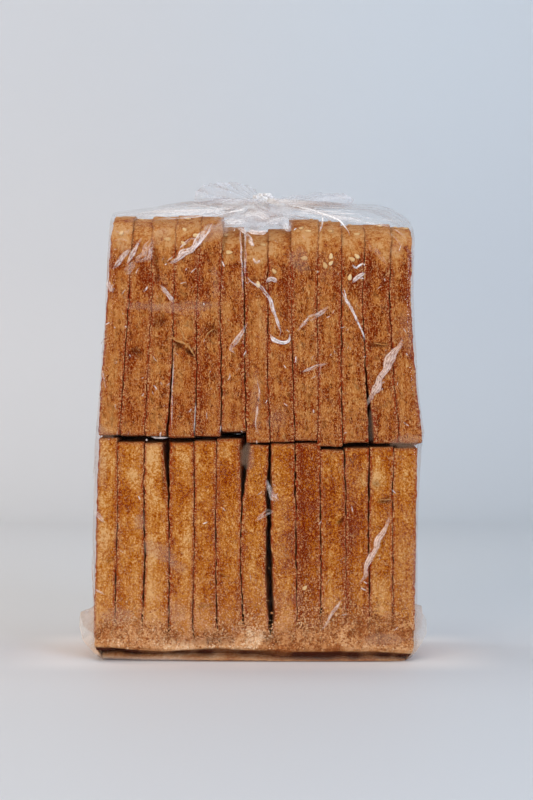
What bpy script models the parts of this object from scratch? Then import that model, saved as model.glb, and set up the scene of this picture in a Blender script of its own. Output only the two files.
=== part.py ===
import math

import bmesh
import bpy
import numpy as np

# A clear film bag, knotted at the top, packed with two rows of rusk slices on edge.
# Metres, +Z up. The origin is the middle of the base, and the front faces -Y.

# Rows of slices
SLICES = 13                        # in each row
POINTS_PER_SLICE = 3
HALF_DEPTH = 0.0440
ROW_SEAM = 0.1045                  # height where the two rows meet
CREST = 0.2075                     # height of the upper row's domed tops
GROOVE = 0.0012                    # film dips this far between two slices
SLICE_UNEVEN = 0.0007              # slices stand this far in or out of line
CREST_UNEVEN = 0.0022              # and this far higher or lower at the top
UNEVEN_TURN = 2.4                  # radians of the sine from one slice to the next
UPPER_PHASE = 2.0
BACK_PHASE = 3.7
LIFT_PHASE = 1.1
SEAM_DIP = 0.0014
SEAM_HALF = 0.0045

# Left and right walls, at the foot, the seam and the crest
WALL_HEIGHTS = (0.0, ROW_SEAM, CREST)
LEFT_WALL = (-0.0765, -0.0740, -0.0680)
RIGHT_WALL = (0.0765, 0.0795, 0.0755)
WALL_BULGE = 0.0008
CORNER = 0.0028
WALL_POINTS = 7

# Rounded foot, where the film draws in under the lower row's domes
FOOT_RISE = 0.0100
FOOT_INSET = 0.0055
FOOT_SIDE_INSET = 0.0040
FOOT_RINGS = 4

# Rounded shoulder of the upper slices
SHOULDER_RISE = 0.0145
SHOULDER_INSET = 0.0230
SHOULDER_SWEEP = math.radians(72)
SHOULDER_RINGS = 6
WALL_RINGS = 3                     # between foot and seam, and between seam and shoulder

# Film gathered from the crest to the neck under the knot
KNOT_X = 0.0056
NECK_HEIGHT = 0.2172
NECK_RADIUS = 0.0056
RIDGE = 0.0105                     # film stands this proud over the left and right ends
RIDGE_NARROWING = 4                # power of the cosine that keeps the ridges to the ends
RIDGE_SKEW = 0.6                   # below 1 the ridge is highest near the crest
GATHER_RINGS = 7
PLEATS = 15
PLEAT_HEIGHT = 0.0009

# Knot
KNOT_HEIGHT = 0.2215
KNOT_RADIUS = 0.0072
KNOT_HALF_HEIGHT = 0.0055
KNOT_LUMP = 0.10
KNOT_LOBES = 3
KNOT_TWIST = 2.0
KNOT_FOOT = math.radians(-35)
KNOT_TOP = math.radians(78)
KNOT_RINGS = 6

# Ears of film that spread from the knot
EAR_THICKNESS = 0.0014
EAR_PLEAT = 0.0014
EAR_PLEATS = 1.5
EAR_STEPS = 10
EAR_ROWS = 9
EAR_OPEN_BY = 0.45                 # share of the reach where an ear is fully open
EAR_DROP_FROM = 0.8
EAR_DROP = 0.35                    # share of the height lost at the free edge
EAR_SLOPE = 0.12                   # the upper edge reaches this much less far
LEFT_EAR = {"reach": -0.0345, "height": 0.0136, "start": -0.0055, "spread": 0.0110}
RIGHT_EAR = {"reach": 0.0420, "height": 0.0092, "start": -0.0060, "spread": 0.0120}

# Folded corners that stick out at the foot
FLAP_TIP_X = 0.0842
FLAP_TIP_HEIGHT = 0.0180
FLAP_HALF_DEPTH = 0.0400
FLAP_THICKNESS = 0.0011
FLAP_ROOT_HEIGHT = 0.0020
FLAP_BURIED = 0.0035
FLAP_STEPS = 12
FLAP_COLUMNS = (0.0, 0.5, 1.0)
FLAP_POINT = 1.6                   # lower is more pointed
FLAP_END_SHARE = 0.12              # reach left at the front and back ends

# Warm brown of the bread seen through the film
FILM_COLOUR = (0.31, 0.13, 0.05, 1.0)
FILM_ROUGHNESS = 0.28


def unevenness(slice_index, phase):
    # Each slice stands a little off the line, by a slow sine over the row.
    return math.sin(UNEVEN_TURN * slice_index + phase)


def walls(height):
    left = np.interp(height, WALL_HEIGHTS, LEFT_WALL)
    right = np.interp(height, WALL_HEIGHTS, RIGHT_WALL)
    return left, right


def face_line(left, right, half_depth, groove, uneven, lift, phase):
    # One face of the pack from left to right: x, distance from the middle plane, and lift.
    rows = []
    for step in range(SLICES * POINTS_PER_SLICE + 1):
        index = min(step // POINTS_PER_SLICE, SLICES - 1)
        share = step / (SLICES * POINTS_PER_SLICE)
        x = left + CORNER + (right - left - 2 * CORNER) * share
        between = step % POINTS_PER_SLICE == 0
        depth = half_depth + uneven * unevenness(index, phase)
        if between:
            depth = half_depth - groove
        rows.append((x, depth, lift * unevenness(index, phase + LIFT_PHASE)))
    return np.array(rows)


def ring(height, half_depth, side_inset=0.0, groove=GROOVE, uneven=SLICE_UNEVEN, lift=0.0):
    # Closed outline of the pack at one height, anticlockwise seen from above.
    left, right = walls(height)
    left += side_inset
    right -= side_inset
    row = 0.0 if height < ROW_SEAM else UPPER_PHASE
    front = face_line(left, right, half_depth, groove, uneven, lift, row)
    back_phase = row + BACK_PHASE
    back = face_line(left, right, half_depth, groove, uneven, lift, back_phase)[::-1]
    side_y = np.linspace(-1, 1, WALL_POINTS) * (half_depth - CORNER)
    bulge = WALL_BULGE * (1 - (side_y / half_depth) ** 2)
    edge_lift_front, edge_lift_back = front[-1, 2], back[0, 2]
    side_lift = np.linspace(edge_lift_front, edge_lift_back, WALL_POINTS)
    other_lift = np.linspace(back[-1, 2], front[0, 2], WALL_POINTS)
    parts = [
        np.column_stack([front[:, 0], -front[:, 1], height + front[:, 2]]),
        np.column_stack([right + bulge, side_y, height + side_lift]),
        np.column_stack([back[:, 0], back[:, 1], height + back[:, 2]]),
        np.column_stack([left - bulge, -side_y, height + other_lift]),
    ]
    return np.vstack(parts)


def wall_rings():
    # From the foot, over the seam between the rows, to the start of the shoulder.
    rings = []
    for angle in np.linspace(0, math.pi / 2, FOOT_RINGS + 1):
        draw_in = 1 - math.sin(angle)
        height = FOOT_RISE * (1 - math.cos(angle))
        growth = math.sin(angle)
        rings.append(
            ring(
                height,
                HALF_DEPTH - FOOT_INSET * draw_in,
                FOOT_SIDE_INSET * draw_in,
                GROOVE * growth,
                SLICE_UNEVEN * growth,
            )
        )
    for height in np.linspace(FOOT_RISE, ROW_SEAM - SEAM_HALF, WALL_RINGS + 1)[1:]:
        rings.append(ring(height, HALF_DEPTH))
    rings.append(ring(ROW_SEAM, HALF_DEPTH - SEAM_DIP))
    shoulder = CREST - SHOULDER_RISE
    for height in np.linspace(ROW_SEAM + SEAM_HALF, shoulder, WALL_RINGS + 1):
        rings.append(ring(height, HALF_DEPTH))
    return rings


def shoulder_rings():
    # A quarter turn that follows the slices' rounded top corners.
    rings = []
    for angle in np.linspace(0, SHOULDER_SWEEP, SHOULDER_RINGS + 1)[1:]:
        share = angle / SHOULDER_SWEEP
        height = CREST - SHOULDER_RISE * (1 - math.sin(angle) / math.sin(SHOULDER_SWEEP))
        half_depth = HALF_DEPTH - SHOULDER_INSET * (1 - math.cos(angle))
        rings.append(
            ring(height, half_depth, 0.0, GROOVE * (1 - share), SLICE_UNEVEN, CREST_UNEVEN * share)
        )
    return rings


def bearings(outline):
    # Direction of each outline point from the knot, with the long sides evened out.
    reach_x = np.abs(outline[:, 0] - KNOT_X).max()
    reach_y = np.abs(outline[:, 1]).max()
    return np.arctan2(outline[:, 1] / reach_y, (outline[:, 0] - KNOT_X) / reach_x)


def gather_rings(crest):
    # The crest outline drawn in to the neck; the ends rise as ridges, and pleats grow on the way.
    bearing = bearings(crest)
    neck = np.column_stack([KNOT_X + NECK_RADIUS * np.cos(bearing), NECK_RADIUS * np.sin(bearing)])
    end_weight = np.cos(bearing) ** RIDGE_NARROWING
    rings = []
    for share in np.linspace(0, 1, GATHER_RINGS + 1)[1:]:
        plan = crest[:, :2] * (1 - share) + neck * share
        rise = crest[:, 2] * (1 - share) + NECK_HEIGHT * share
        ridge = RIDGE * end_weight * math.sin(math.pi * share ** RIDGE_SKEW)
        pleat = PLEAT_HEIGHT * math.sin(math.pi * share) * np.sin(PLEATS * bearing)
        rings.append(np.column_stack([plan, rise + ridge + pleat]))
    return rings, bearing


def knot_rings(bearing):
    # A lumpy ball above the neck.
    rings = []
    for angle in np.linspace(KNOT_FOOT, KNOT_TOP, KNOT_RINGS):
        lumps = 1 + KNOT_LUMP * np.sin(KNOT_LOBES * bearing + KNOT_TWIST * angle)
        radius = KNOT_RADIUS * math.cos(angle) * lumps
        height = KNOT_HEIGHT + KNOT_HALF_HEIGHT * math.sin(angle)
        rings.append(
            np.column_stack(
                [
                    KNOT_X + radius * np.cos(bearing),
                    radius * np.sin(bearing),
                    np.full(len(bearing), height),
                ]
            )
        )
    return rings


def loft(name, rings):
    # Rings joined by quads, with a flat face at each end.
    count = len(rings[0])
    mesh = bpy.data.meshes.new(name)
    points = np.vstack(rings)
    faces = []
    for level in range(len(rings) - 1):
        for i in range(count):
            j = (i + 1) % count
            a = level * count
            b = a + count
            faces.append((a + i, a + j, b + j, b + i))
    faces.append(tuple(range(count))[::-1])
    last = (len(rings) - 1) * count
    faces.append(tuple(last + i for i in range(count)))
    mesh.from_pydata(points.tolist(), [], faces)
    return mesh


def plate(name, middle, thickness):
    # A closed thin sheet around a grid of middle points, thickened along its own normals.
    rows, columns = middle.shape[:2]
    along = np.gradient(middle, axis=0)
    across = np.gradient(middle, axis=1)
    normal = np.cross(along, across)
    normal /= np.linalg.norm(normal, axis=2, keepdims=True)
    upper = middle + normal * thickness / 2
    lower = middle - normal * thickness / 2
    points = np.vstack([upper.reshape(-1, 3), lower.reshape(-1, 3)])
    under = rows * columns
    faces = []
    for i in range(rows - 1):
        for j in range(columns - 1):
            a = i * columns + j
            b = a + columns
            faces.append((a, b, b + 1, a + 1))
            faces.append((under + a, under + a + 1, under + b + 1, under + b))
    rim = [j for j in range(columns)]
    rim += [i * columns + columns - 1 for i in range(1, rows)]
    rim += [(rows - 1) * columns + j for j in range(columns - 2, -1, -1)]
    rim += [i * columns for i in range(rows - 2, 0, -1)]
    for start, end in zip(rim, rim[1:] + rim[:1]):
        faces.append((start, end, under + end, under + start))
    mesh = bpy.data.meshes.new(name)
    mesh.from_pydata(points.tolist(), [], faces)
    work = bmesh.new()
    work.from_mesh(mesh)
    bmesh.ops.recalc_face_normals(work, faces=work.faces)
    bmesh.ops.triangulate(work, faces=work.faces)
    work.to_mesh(mesh)
    work.free()
    return mesh


def ear_grid(reach, height, start, spread):
    # A band of film from inside the knot to its free edge, opening upwards and in depth.
    grid = np.zeros((EAR_STEPS + 1, EAR_ROWS + 1, 3))
    for i, along in enumerate(np.linspace(0, 1, EAR_STEPS + 1)):
        opening = math.sin(math.pi / 2 * min(along / EAR_OPEN_BY, 1.0))
        past = max(along - EAR_DROP_FROM, 0) / (1 - EAR_DROP_FROM)
        end_drop = 1 - EAR_DROP * past
        for j, across in enumerate(np.linspace(0, 1, EAR_ROWS + 1)):
            x = KNOT_X + reach * along * (1 - EAR_SLOPE * across * across)
            pleat = EAR_PLEAT * along * math.sin(2 * math.pi * EAR_PLEATS * across)
            y = spread * (across - 0.5) * along + pleat
            lift = start + height * across * opening * end_drop
            z = KNOT_HEIGHT + lift + EAR_PLEAT * (1 - along) * (across - 0.5)
            grid[i, j] = (x, y, z)
    return grid


def flap_grid(side):
    # A triangle of doubled film: its root runs along the foot, its tip points out and up.
    grid = np.zeros((FLAP_STEPS + 1, len(FLAP_COLUMNS), 3))
    root_x = abs(RIGHT_WALL[0]) - FLAP_BURIED
    for i, along in enumerate(np.linspace(-1, 1, FLAP_STEPS + 1)):
        reach = 1 - abs(along) ** FLAP_POINT
        for j, out in enumerate(FLAP_COLUMNS):
            share = (FLAP_END_SHARE + (1 - FLAP_END_SHARE) * reach) * out
            x = side * (root_x + (FLAP_TIP_X - root_x) * share)
            z = FLAP_ROOT_HEIGHT + (FLAP_TIP_HEIGHT - FLAP_ROOT_HEIGHT) * share
            grid[i, j] = (x, along * FLAP_HALF_DEPTH, z)
    return grid


def film_material():
    material = bpy.data.materials.new("film_over_bread")
    material.use_nodes = True
    shader = material.node_tree.nodes["Principled BSDF"]
    shader.inputs["Base Color"].default_value = FILM_COLOUR
    shader.inputs["Roughness"].default_value = FILM_ROUGHNESS
    shader.inputs["Metallic"].default_value = 0.0
    return material


def add(name, mesh):
    thing = bpy.data.objects.new(name, mesh)
    bpy.context.scene.collection.objects.link(thing)
    return thing


def unite(body, extra):
    # The extra is a guide, so only the body is a finished piece.
    extra.hide_render = True
    extra.display_type = "WIRE"
    union = body.modifiers.new("join_" + extra.name, "BOOLEAN")
    union.operation = "UNION"
    union.object = extra


def bag():
    crest_side = wall_rings() + shoulder_rings()
    gathered, bearing = gather_rings(crest_side[-1])
    body = add("bag", loft("bag", crest_side + gathered + knot_rings(bearing)))
    body.data.materials.append(film_material())
    for name, sizes in (("left_ear", LEFT_EAR), ("right_ear", RIGHT_EAR)):
        unite(body, add(name, plate(name, ear_grid(**sizes), EAR_THICKNESS)))
    for name, side in (("left_flap", -1), ("right_flap", 1)):
        unite(body, add(name, plate(name, flap_grid(side), FLAP_THICKNESS)))
    return body


def clear_scene():
    for thing in list(bpy.data.objects):
        bpy.data.objects.remove(thing, do_unlink=True)


clear_scene()
bag()
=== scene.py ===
import math

import bpy
import numpy as np
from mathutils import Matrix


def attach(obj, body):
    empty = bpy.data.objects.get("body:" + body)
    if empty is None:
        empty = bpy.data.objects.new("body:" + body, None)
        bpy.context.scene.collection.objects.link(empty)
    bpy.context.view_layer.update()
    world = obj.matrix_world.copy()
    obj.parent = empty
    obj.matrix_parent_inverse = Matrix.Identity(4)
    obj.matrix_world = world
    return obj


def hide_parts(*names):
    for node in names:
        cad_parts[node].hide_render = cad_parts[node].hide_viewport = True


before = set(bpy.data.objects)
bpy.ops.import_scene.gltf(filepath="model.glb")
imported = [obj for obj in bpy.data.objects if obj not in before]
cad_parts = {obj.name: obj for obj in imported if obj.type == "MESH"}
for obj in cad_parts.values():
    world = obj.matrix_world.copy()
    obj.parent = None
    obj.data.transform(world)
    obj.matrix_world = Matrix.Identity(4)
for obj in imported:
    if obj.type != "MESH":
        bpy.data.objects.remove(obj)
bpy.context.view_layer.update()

# Lengths are millimetres until makePiece() turns them into metres.
# The bag stands on the floor at z = 0, its front faces -y, and its middle is at x = y = 0.

photo = {
    "mmPerPixel": 0.47,        # on the plane of the bag's front
    "middleColumn": 252.0,     # column of the bag's middle
    "footRow": 662.0,          # row of the bag's foot
    "eyeRow": 400.0,           # row at the camera's height
    "columns": 533,
    "rows": 800,
    "cameraDistance": 1000.0,  # from the camera to the bag's front
}


def fromPhoto(column, row):
    # A pixel on the plane of the bag's front: its distance from the middle and the foot as x and z.
    x = (np.asarray(column, float) - photo["middleColumn"]) * photo["mmPerPixel"]
    z = (photo["footRow"] - np.asarray(row, float)) * photo["mmPerPixel"]
    return x, z


def alongCamera(x, z, behind):
    # A place on that plane, carried along the camera's line to a depth behind it:
    # eye + (place - eye) x (1 + depth / camera distance).
    eyeX, eyeZ = fromPhoto(photo["columns"] / 2, photo["eyeRow"])
    far = 1 + behind / photo["cameraDistance"]
    return eyeX + (x - eyeX) * far, eyeZ + (z - eyeZ) * far


def ease(low, high, value):
    # 0 below low, 1 above high, and a smooth cubic between them.
    share = np.clip((np.asarray(value, float) - low) / (high - low), 0.0, 1.0)
    return share * share * (3.0 - 2.0 * share)


def superellipse(share, power):
    # The height over a place of a unit superellipse: (1 - share^power)^(1 / power).
    return (1 - share ** power) ** (1 / power)


# Large odd factors that scatter a cell's three numbers and the seed over all values.
scatter = {"cell": (374761393, 668265263, 1442695041), "seed": 97463477, "mix": 1274126177}


def noise(x, y, z, seed):
    # Hashed values at the corners of unit cells, blended by smooth steps: from -1 to 1.
    x, y, z = np.broadcast_arrays(np.asarray(x, float), y, z)
    low = [np.floor(axis).astype(np.int64) for axis in (x, y, z)]
    blend = [ease(0.0, 1.0, axis - corner) for axis, corner in zip((x, y, z), low)]
    total = np.zeros(x.shape)
    for corner in range(8):
        step = [(corner >> k) & 1 for k in range(3)]
        key = seed * scatter["seed"]
        for cell, side, factor in zip(low, step, scatter["cell"]):
            key = key + (cell + side) * factor
        key = (key ^ (key >> 13)) * scatter["mix"]
        key = key ^ (key >> 16)
        weight = 1.0
        for share, side in zip(blend, step):
            weight = weight * (share if side else 1.0 - share)
        total += weight * ((key & 65535) / 32767.5 - 1.0)
    return total


def layered(x, y, z, seed, count=3):
    # Noise at doubling fineness and halving strength, summed.
    total = 0.0
    for octave in range(count):
        scale = 2.0 ** octave
        total = total + noise(x * scale, y * scale, z * scale, seed + octave) / scale
    return total


def spotSum(spots, x, z, falloff):
    # Each spot adds its strength times the falloff of the offsets from its centre, which are
    # turned by its slant and divided by its half sizes.
    total = np.zeros(np.broadcast(x, z).shape)
    for column, row, width, height, slant, strength in spots:
        centreX, centreZ = fromPhoto(column, row)
        along = (x - centreX) + (z - centreZ) * slant
        across = (z - centreZ) - (x - centreX) * slant
        total = total + strength * falloff(along / width, across / height)
    return total


def runOf(points):
    # Distance along a line of points, from its first one.
    return np.concatenate([[0], np.cumsum(np.linalg.norm(np.diff(points, axis=0), axis=1))])


def throughPoints(path, step):
    # A smooth curve through the points (Catmull-Rom), resampled at even steps.
    path = np.asarray(path, float)
    ends = np.vstack([2 * path[0] - path[1], path, 2 * path[-1] - path[-2]])
    at = np.linspace(0, 1, 24, endpoint=False)[:, None]
    parts = []
    for a, b, c, d in zip(ends[:-3], ends[1:-2], ends[2:-1], ends[3:]):
        square, cube = 2 * a - 5 * b + 4 * c - d, 3 * b - a - 3 * c + d
        parts.append(0.5 * (2 * b + (c - a) * at + square * at ** 2 + cube * at ** 3))
    curve = np.vstack(parts + [path[-1:]])
    run = runOf(curve)
    even = np.linspace(0, run[-1], max(int(run[-1] / step), 6))
    return np.stack([np.interp(even, run, curve[:, k]) for k in range(2)], -1), even


def directionOf(curve):
    # Unit vectors along a curve.
    along = np.gradient(curve, axis=0)
    return along / np.hypot(along[:, 0], along[:, 1])[:, None]


def gridQuads(rows, columns, wrapRows=False, wrapColumns=False, start=0, flip=False):
    # Quads between neighbouring rows and columns; a wrap joins the last one to the first.
    i = np.arange(rows if wrapRows else rows - 1)[:, None]
    j = np.arange(columns if wrapColumns else columns - 1)[None, :]
    nextI, nextJ = (i + 1) % rows, (j + 1) % columns
    corners = [i * columns + j, i * columns + nextJ, nextI * columns + nextJ, nextI * columns + j]
    quads = np.stack(np.broadcast_arrays(*corners), -1).reshape(-1, 4) + start
    return quads[:, ::-1] if flip else quads


def fan(ring, pole, flip=False):
    # Triangles from a closed ring of points to one pole.
    ring = np.asarray(ring)
    tris = np.stack([ring, np.roll(ring, -1), np.full(len(ring), pole)], -1)
    return tris[:, ::-1] if flip else tris


def closedRings(rings, count, start=0, flip=False):
    # Faces of a stack of closed rings whose two poles follow the last ring.
    total = start + rings * count
    return [
        gridQuads(rings, count, wrapColumns=True, start=start, flip=flip),
        fan(np.arange(start, start + count), total, flip=not flip),
        fan(np.arange(total - count, total), total + 1, flip=flip),
    ]


def makePiece(name, points, faces, material, attributes=None, replaces=False):
    # Points in millimetres and arrays of quads and triangles become a smooth mesh at the origin.
    mesh = bpy.data.meshes.new(name)
    corners = np.concatenate([f.reshape(-1) for f in faces]).astype(np.int32)
    sizes = np.concatenate([np.full(len(f), f.shape[1]) for f in faces])
    starts = np.concatenate([[0], np.cumsum(sizes)[:-1]]).astype(np.int32)
    places = (np.asarray(points) * 0.001).astype(np.float32).reshape(-1)
    mesh.vertices.add(len(places) // 3)
    mesh.vertices.foreach_set("co", places)
    mesh.loops.add(len(corners))
    mesh.loops.foreach_set("vertex_index", corners)
    mesh.polygons.add(len(sizes))
    mesh.polygons.foreach_set("loop_start", starts)
    mesh.polygons.foreach_set("use_smooth", np.ones(len(sizes), bool))
    mesh.update(calc_edges=True)
    for label, values in (attributes or {}).items():
        layer = mesh.attributes.new(label, "FLOAT", "POINT")
        layer.data.foreach_set("value", np.asarray(values, np.float32).reshape(-1))
    mesh.materials.append(material)
    piece = bpy.data.objects.new(name, mesh)
    bpy.context.scene.collection.objects.link(piece)
    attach(piece, "root")
    if replaces:
        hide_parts("bag")
    return piece


class Wire:
    # One socket; an operator on it adds the Math node.
    def __init__(self, finish, socket):
        self.finish, self.socket = finish, socket

    def maths(self, operation, *others):
        values = dict(enumerate((self,) + others))
        return self.finish.add("ShaderNodeMath", {"operation": operation}, values)

    def other(self, name):
        # Another output of the same node.
        return Wire(self.finish, self.socket.node.outputs[name])

    def __add__(self, other):
        return self.maths("ADD", other)

    def __sub__(self, other):
        return self.maths("SUBTRACT", other)

    def __mul__(self, other):
        return self.maths("MULTIPLY", other)

    def __pow__(self, other):
        return self.maths("POWER", other)

    def __rsub__(self, other):
        return (self * -1.0) + other

    __radd__, __rmul__ = __add__, __mul__


class Finish:
    # A material under construction.
    def __init__(self, name):
        self.material = bpy.data.materials.new(name)
        self.material.use_nodes = True
        self.tree = self.material.node_tree
        self.tree.nodes.clear()

    def add(self, kind, settings=None, sockets=None, out=0):
        # A node of this kind, with its settings set first and then its sockets' values or links.
        node = self.tree.nodes.new(kind)
        for label, value in (settings or {}).items():
            if label == "stops":
                ramp = node.color_ramp
                while len(ramp.elements) < len(value):
                    ramp.elements.new(0.5)
                for element, (position, colour) in zip(ramp.elements, value):
                    element.position = position
                    element.color = (*colour, 1.0)
            else:
                setattr(node, label, value)
        for label, value in (sockets or {}).items():
            self.plug(node.inputs[label], value)
        return Wire(self, node.outputs[out]) if len(node.outputs) else node

    def plug(self, socket, value):
        # Joins a wire to the socket, or sets its value; a colour gets its fourth number here.
        if isinstance(value, Wire):
            self.tree.links.new(value.socket, socket)
        elif isinstance(value, tuple) and len(value) == 3 and socket.type == "RGBA":
            socket.default_value = (*value, 1.0)
        else:
            socket.default_value = value

    def attributes(self, *labels):
        # The numbers that each point of the mesh carries under these labels.
        return [self.add("ShaderNodeAttribute", {"attribute_name": label}, out="Fac") for label in labels]

    def place(self):
        # Object coordinates in millimetres.
        sockets = {"Vector": self.add("ShaderNodeTexCoord", out="Object"), "Scale": (1000.0, 1000.0, 1000.0)}
        return self.add("ShaderNodeMapping", {"vector_type": "POINT"}, sockets)

    def grain(self, where, scale, detail=2.0, roughness=0.5, twist=0.0):
        # Soft noise around 0.5, with so many grains to the millimetre.
        sockets = {"Vector": where, "Scale": scale, "Detail": detail}
        sockets.update({"Roughness": roughness, "Distortion": twist})
        return self.add("ShaderNodeTexNoise", {"noise_dimensions": "3D"}, sockets, "Fac")

    def span(self, value, low, high, toLow=0.0, toHigh=1.0):
        # A smooth step from one value at low to another at high.
        sockets = {"Value": value, "From Min": low, "From Max": high}
        sockets.update({"To Min": toLow, "To Max": toHigh})
        settings = {"interpolation_type": "SMOOTHSTEP", "clamp": True}
        return self.add("ShaderNodeMapRange", settings, sockets)

    def mix(self, share, first, second):
        # first x (1 - share) + second x share, for colours.
        settings = {"data_type": "RGBA", "clamp_factor": True}
        return self.add("ShaderNodeMix", settings, {0: share, 6: first, 7: second}, 2)

    def ramp(self, value, stops):
        # Colours at positions from 0 to 1, blended between them.
        return self.add("ShaderNodeValToRGB", {"stops": stops}, {"Fac": value})

    def relief(self, height, strength, distance):
        # Shading as if the surface were raised by the height times the distance in metres.
        sockets = {"Strength": strength, "Distance": distance, "Height": height}
        return self.add("ShaderNodeBump", None, sockets)

    def solid(self, colour, rough, specular=0.5, normal=None):
        sockets = {"Base Color": colour, "Roughness": rough, "Specular IOR Level": specular}
        if normal:
            sockets["Normal"] = normal
        return self.add("ShaderNodeBsdfPrincipled", None, sockets)

    def clear(self):
        return self.add("ShaderNodeBsdfTransparent", None, {"Color": (1.0, 1.0, 1.0)})

    def blend(self, share, first, second):
        # first x (1 - share) + second x share, for shaders.
        return self.add("ShaderNodeMixShader", None, {0: share, 1: first, 2: second})

    def surface(self, shader):
        self.add("ShaderNodeOutputMaterial", None, {"Surface": shader})
        return self.material


def srgb(red, green, blue):
    # Display values from 0 to 255 as linear light.
    values = [c / 255.0 for c in (red, green, blue)]
    return tuple(v / 12.92 if v <= 0.04045 else ((v + 0.055) / 1.055) ** 2.4 for v in values)


rusk = {
    "depth": 88.0,          # front to back
    "rowsMeet": 104.5,      # height of the seam between the two rows
    "cornerRadius": 1.8,    # at the flat end
    "domeRise": 25.0,
    "domePower": 2.6,
    "endBulge": 1.7,
    "edgeRadius": 0.5,      # between the crust and a broad face
    "outlineStep": 1.0,
    "outlinePoints": (40, 12, 60, 160),    # half the flat end, corner, side, half the dome
    "crossPoints": 12,      # across the crust
    "hiddenRings": 4,       # on a broad face between two slices
    "shownRings": 20,       # on a broad face at the side of the bag
    "fibreRelief": 0.18,
    "lumpRelief": 0.34,
    "topRelief": 0.22,
    "poreDepth": 0.45,
    "faceRelief": 0.35,
    "edgeRounding": 6.0,    # height over which a boundary's bends are rounded
    "edgeWaver": 0.18,
    "edgeNibble": 0.34,
    "backShift": 1.3,       # swing of a boundary towards the back
    "backGap": 0.5,         # of a gap's width in front
    "gapPower": 1.6,        # how fast a gap widens from the middle outwards
    "gapLeast": 0.03,
    "gapsCalmFrom": 190.0,  # up the shoulders the gaps are more even
    "gapsCalmTo": 203.0,
}

# Where each slice meets the next, left to right, at four heights, with the gap there.
upperRow = {
    "name": "upper",
    "domeUp": True,
    "gapTrim": 0.16,
    "gapUneven": 0.30,
    "heights": (106.7, 132.5, 170.1, 203.0),
    "edges": (
        (-72.4, -71.0, -68.2, -66.1), (-62.4, -60.6, -58.0, -56.4),
        (-50.5, -49.1, -47.0, -47.1), (-40.0, -37.8, -36.9, -35.9),
        (-27.0, -25.9, -26.0, -24.2), (-14.6, -14.4, -15.0, -13.8),
        (-2.7, -3.4, -3.6, -4.9), (8.7, 7.4, 7.5, 7.9),
        (20.2, 19.2, 18.6, 18.5), (31.0, 31.3, 30.6, 31.4),
        (42.6, 42.0, 42.1, 42.2), (56.3, 53.8, 51.7, 53.8),
        (69.3, 66.5, 64.4, 65.7), (80.3, 77.1, 74.6, 75.7),
    ),
    "gaps": (
        (0.0, 0.0, 0.0, 0.0), (0.3, 0.3, 0.4, 0.15), (0.3, 0.2, 0.3, 0.15),
        (1.3, 0.9, 0.4, 0.15), (0.8, 0.6, 0.2, 0.15), (0.8, 0.6, 0.5, 0.3),
        (0.6, 0.6, 0.6, 0.2), (0.5, 0.4, 0.4, 0.2), (0.7, 0.6, 0.3, 0.15),
        (0.4, 0.2, 0.5, 0.25), (0.6, 0.5, 0.4, 0.2), (2.3, 1.1, 0.3, 0.35),
        (0.3, 0.3, 0.4, 0.2), (0.0, 0.0, 0.0, 0.0),
    ),
    "tops": (212.5, 211.1, 212.3, 213.0, 212.3, 207.5, 205.2,
             206.4, 210.9, 210.0, 208.3, 208.5, 207.1),
    "bottoms": (106.6, 106.4, 106.2, 105.3, 106.0, 108.1, 102.9,
                103.3, 103.8, 101.2, 102.9, 102.6, 102.9),
    "setBack": (0.5, 1.3, 0.7, 1.0, 0.4, 1.2, 1.6, 0.6, 0.9, 0.4, 0.8, 0.5, 1.5),
    "bake": (0.56, 0.74, 0.62, 0.70, 0.76, 0.68, 0.73, 0.76, 0.70, 0.75, 0.67, 0.78, 0.72),
    "fibre": (0.75, 0.8, 0.9, 0.9, 1.0, 0.9, 0.8, 0.9, 1.0, 0.95, 0.95, 1.0, 0.9),
}
lowerRow = {
    "name": "lower",
    "domeUp": False,
    "gapTrim": 0.16,
    "gapUneven": 0.50,
    "heights": (19.7, 47.9, 76.1, 101.1),
    "edges": (
        (-74.5, -73.4, -73.1, -72.1), (-64.5, -63.8, -63.1, -63.3),
        (-51.7, -50.4, -50.9, -50.8), (-39.2, -38.9, -39.1, -40.3),
        (-27.9, -27.3, -27.2, -27.2), (-16.6, -17.1, -17.0, -16.5),
        (-4.1, -5.6, -4.8, -3.1), (9.0, 7.8, 7.8, 8.5),
        (21.2, 20.7, 20.5, 20.2), (32.5, 32.4, 32.3, 32.0),
        (44.2, 44.2, 44.0, 43.2), (55.3, 55.1, 54.8, 55.5),
        (66.3, 66.3, 65.9, 67.0), (76.6, 76.8, 77.4, 77.9),
    ),
    "gaps": (
        (0.0, 0.0, 0.0, 0.0), (0.5, 0.5, 0.4, 0.2), (0.8, 0.7, 0.6, 0.3),
        (0.7, 0.5, 0.9, 3.4), (0.5, 0.4, 0.4, 0.5), (0.8, 0.5, 0.5, 0.3),
        (0.9, 0.4, 0.8, 4.6), (3.0, 4.1, 2.8, 1.4), (0.6, 0.6, 0.8, 0.8),
        (0.8, 0.6, 0.5, 0.3), (0.5, 0.3, 0.4, 0.7), (0.4, 0.5, 0.9, 0.6),
        (0.4, 0.4, 0.4, 0.3), (0.0, 0.0, 0.0, 0.0),
    ),
    "tops": (105.2, 103.4, 102.9, 103.2, 103.9, 104.8, 102.0,
             102.6, 102.9, 99.6, 100.6, 101.0, 100.6),
    "bottoms": (1.3, 1.0, 1.4, 1.1, 1.6, 1.0, 1.2,
                1.5, 1.0, 1.4, 1.1, 1.5, 1.2),
    "setBack": (0.5, 0.6, 0.9, 0.3, 0.5, 0.4, 0.8, 0.5, 0.9, 0.4, 0.7, 0.5, 0.8),
    "bake": (0.37, 0.46, 0.39, 0.49, 0.56, 0.59, 0.61, 0.56, 0.92, 0.59, 0.68, 0.51, 0.45),
    "fibre": (0.25, 0.2, 0.1, 0.2, 0.3, 0.35, 0.35, 0.3, 0.5, 0.4, 0.45, 0.4, 0.3),
}


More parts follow.
